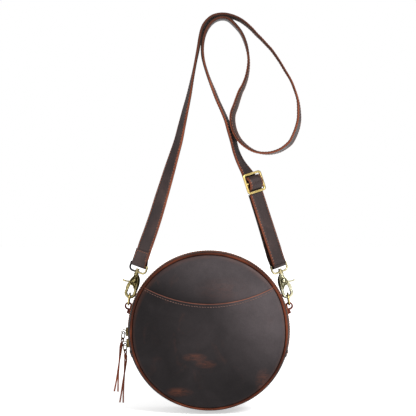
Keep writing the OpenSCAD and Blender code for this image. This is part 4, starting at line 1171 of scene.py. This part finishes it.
# The spine is a dark tube along the claw's inner side: a painted dark reflection
SHADED_SPINE = [(-2.2, 13.2, 1.2), (-4.9, 17.6, 1.6), (-6.1, 22.5, 1.6), (-6.4, 27.5, 1.5), (-6.5, 32.0, 1.1)]
CLAW = [(-1.2, 13.6, 1.8), (-2.8, 17.0, 2.1), (-4.0, 21.5, 2.2), (-4.7, 26.5, 2.2), (-5.4, 31.5, 2.0)]
for k in range(CLAW_STEPS + 1):
    u = k / CLAW_STEPS
    t = radians(CLAW_TURN * u)
    thick = 2.0 + 0.1 * sin(t) - 0.15 * u
    r = 3.5 - 0.2 * u + 1.25 * sin(t) + thick
    CLAW.append((-r * cos(t), LOOP_S + r * sin(t), thick))
CLAW.append((CLAW[-1][0], CLAW[-1][1] - 0.4, 1.7))
NECK = [(5.35, 0.3), (5.4, 1.9), (5.7, 2.2), (6.6, 2.2), (6.85, 1.35), (11.95, 1.35), (12, 2.6), (12.3, 3),
        (13.3, 3), (13.7, 2.5), (14.6, 2.2)]
GATE = [(PIVOT_OUT, PIVOT_S, 1.3), (3.9, 25.2, 1.9), (4.9, 28.0, 2.2), (5.3, 30.8, 2.1), (5.25, 33.0, 1.95),
        (5.2, 34.2, 1.7)]
LEVER = [(PIVOT_OUT, PIVOT_S, 1.0), (6.0, 23.9, 1.0), (9.4, 24.5, 0.95), (12.0, 24.5, 1.05),
         (13.4, 24.2, 1.1), (13.9, 24.1, 0.5)]


def snap_hook(side, which, metal, shade):
    """The casting: two cheeks with a rivet each, a core, a dark spine tube that is a painted reflection, the
    claw and the neck below the eye.
    """
    pieces = []
    for s in (-1, 1):
        for part, layers, mat in (("cheek", CHEEK_LAYERS, metal), ("recess", RECESS_LAYERS, shade)):
            layers = [(inset, s * y) for inset, y in layers]
            pieces.append(clip_plate(f"{part}_{which}_{s}", side, CHEEK, layers, [mat]))
        for part, steps, mat, n in (("rivet_seat", SEAT, black_patina_and_shade, 24), ("rivet", RIVET, metal, 20)):
            steps = [(s * y, r) for y, r in steps]
            pieces.append(clip_pin(f"{part}_{which}_{s}", side, RIVET_OUT, RIVET_S, steps, [mat], n))
    pieces.append(clip_plate(f"core_{which}", side, CORE, [(0.1, -1.55), (0.1, 1.55)], [shade]))
    # A dark tube along the claw's inner side: painted dark reflection
    pieces.append(clip_tube(f"spine_{which}", side, SHADED_SPINE, [black_patina_and_shade]))
    pieces.append(clip_tube(f"claw_{which}", side, CLAW, [metal], 18))
    neck = [clip_point(side, 0, s) for s, _ in NECK]
    pieces.append(tube(f"neck_{which}", neck, [r for _, r in NECK], [metal], 24))
    whole = join(f"hook_casting_{which}", pieces)
    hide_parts(f"hook_{which}")
    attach(whole, f"hook_{which}")


def snap_trigger(side, which, metal):
    """The gate that closes the claw, with its knuckle and the lever for the thumb."""
    pieces = [clip_tube(f"gate_{which}", side, GATE, [metal], 20, GATE_DEPTH),
              clip_pin(f"knuckle_{which}", side, PIVOT_OUT, PIVOT_S, [(-1.2, 2.2), (1.2, 2.2)], [metal]),
              clip_tube(f"lever_{which}", side, LEVER, [metal], 12)]
    whole = join(f"trigger_gate_{which}", pieces)
    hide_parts(f"trigger_{which}")
    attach(whole, f"trigger_{which}")


# The left hook takes the darker copy of the brass and the right the paler one: painted shade and painted
# light
for side, which, metal, shade in ((-1, "left", antique, patina), (1, "right", pale_lit_brass, pale_lit_patina)):
    snap_hook(side, which, metal, shade)
    snap_trigger(side, which, metal)

# Metal that stays as the CAD made it
METALS = {"eye_left": eye_brass_left, "eye_right": eye_brass_right, "trigger_pin_": zip_metal,
          "trigger_spring_": dark_steel, "ring_": golden, "slider_": dark_brass, "pull_ring_": dark_brass,
          "zip_stops": zip_metal}
for node_name, node in frame["nodes"].items():
    for start, metal in METALS.items():
        if node_name.startswith(start):
            node.data.materials.clear()
            node.data.materials.append(metal)

# Floor, world and lamps
FLOOR_Z = metres(0, 0, -98.9).z
FLOOR_HALF = 6


def backdrop(name, shade):
    """Diffuse white that keeps shadows near the bag but shows as clean white beyond them."""
    n = Surface(name)
    rays = n.new("ShaderNodeLightPath").outputs
    seen = n.math("MAXIMUM", rays["Is Camera Ray"], rays["Is Glossy Ray"])
    seen = n.math("MAXIMUM", seen, rays["Is Transmission Ray"])
    far = n.new("ShaderNodeMapRange", Value=n.vector("LENGTH", n.place), From_Min=0.2, From_Max=1.2,
                To_Min=0.36, To_Max=1.0)
    return n.done(Base_Color=(shade, shade, shade, 1), Roughness=0.95, Specular_IOR_Level=0.0,
                  Emission_Color=(1, 1, 1, 1), Emission_Strength=n.math("MULTIPLY", seen, far.outputs[0]))


corners = [(x * FLOOR_HALF, y * FLOOR_HALF, FLOOR_Z) for x, y in ((-1, -1), (1, -1), (1, 1), (-1, 1))]
floor = mesh_object("floor", corners, [(0, 1, 2, 3)], [backdrop("floor_white", 0.95)], smooth=False)

world = bpy.data.worlds.new("world")
bpy.context.scene.world = world
world.use_nodes = True
sky = Nodes(world.node_tree)
rays = sky.new("ShaderNodeLightPath").outputs
seen = sky.math("MAXIMUM", rays["Is Camera Ray"], rays["Is Transmission Ray"])
plain = sky.new("ShaderNodeBackground", Color=(1, 1, 1, 1), Strength=0.5).outputs[0]
bright = sky.new("ShaderNodeBackground", Color=(1, 1, 1, 1), Strength=1.0).outputs[0]
both = sky.chain("ShaderNodeMixShader", {0: seen, 1: plain, 2: bright}).outputs[0]
sky.new("ShaderNodeOutputWorld", Surface=both)


def lamp(name, place, size, power):
    """A square lamp aimed at the bag."""
    data = bpy.data.lights.new(name, "AREA")
    data.size = size
    data.energy = power
    o = bpy.data.objects.new(name, data)
    bpy.context.scene.collection.objects.link(o)
    o.location = place
    o.rotation_euler = (metres(0, 0, 60) - Vector(place)).to_track_quat("-Z", "Y").to_euler()


lamp("key", (0.85, -1.2, 0.75), 0.7, 30)
lamp("fill", (-1.3, -0.9, 0.3), 1.0, 6)
bpy.context.scene.view_settings.view_transform = "Standard"

# Every mesh keeps its place at rest, which the patterns read
for o in bpy.context.scene.objects:
    if o.type == "MESH":
        place = o.data.attributes.new("place", "FLOAT_VECTOR", "POINT")
        place.data.foreach_set("vector", [c for v in o.data.vertices for c in v.co])
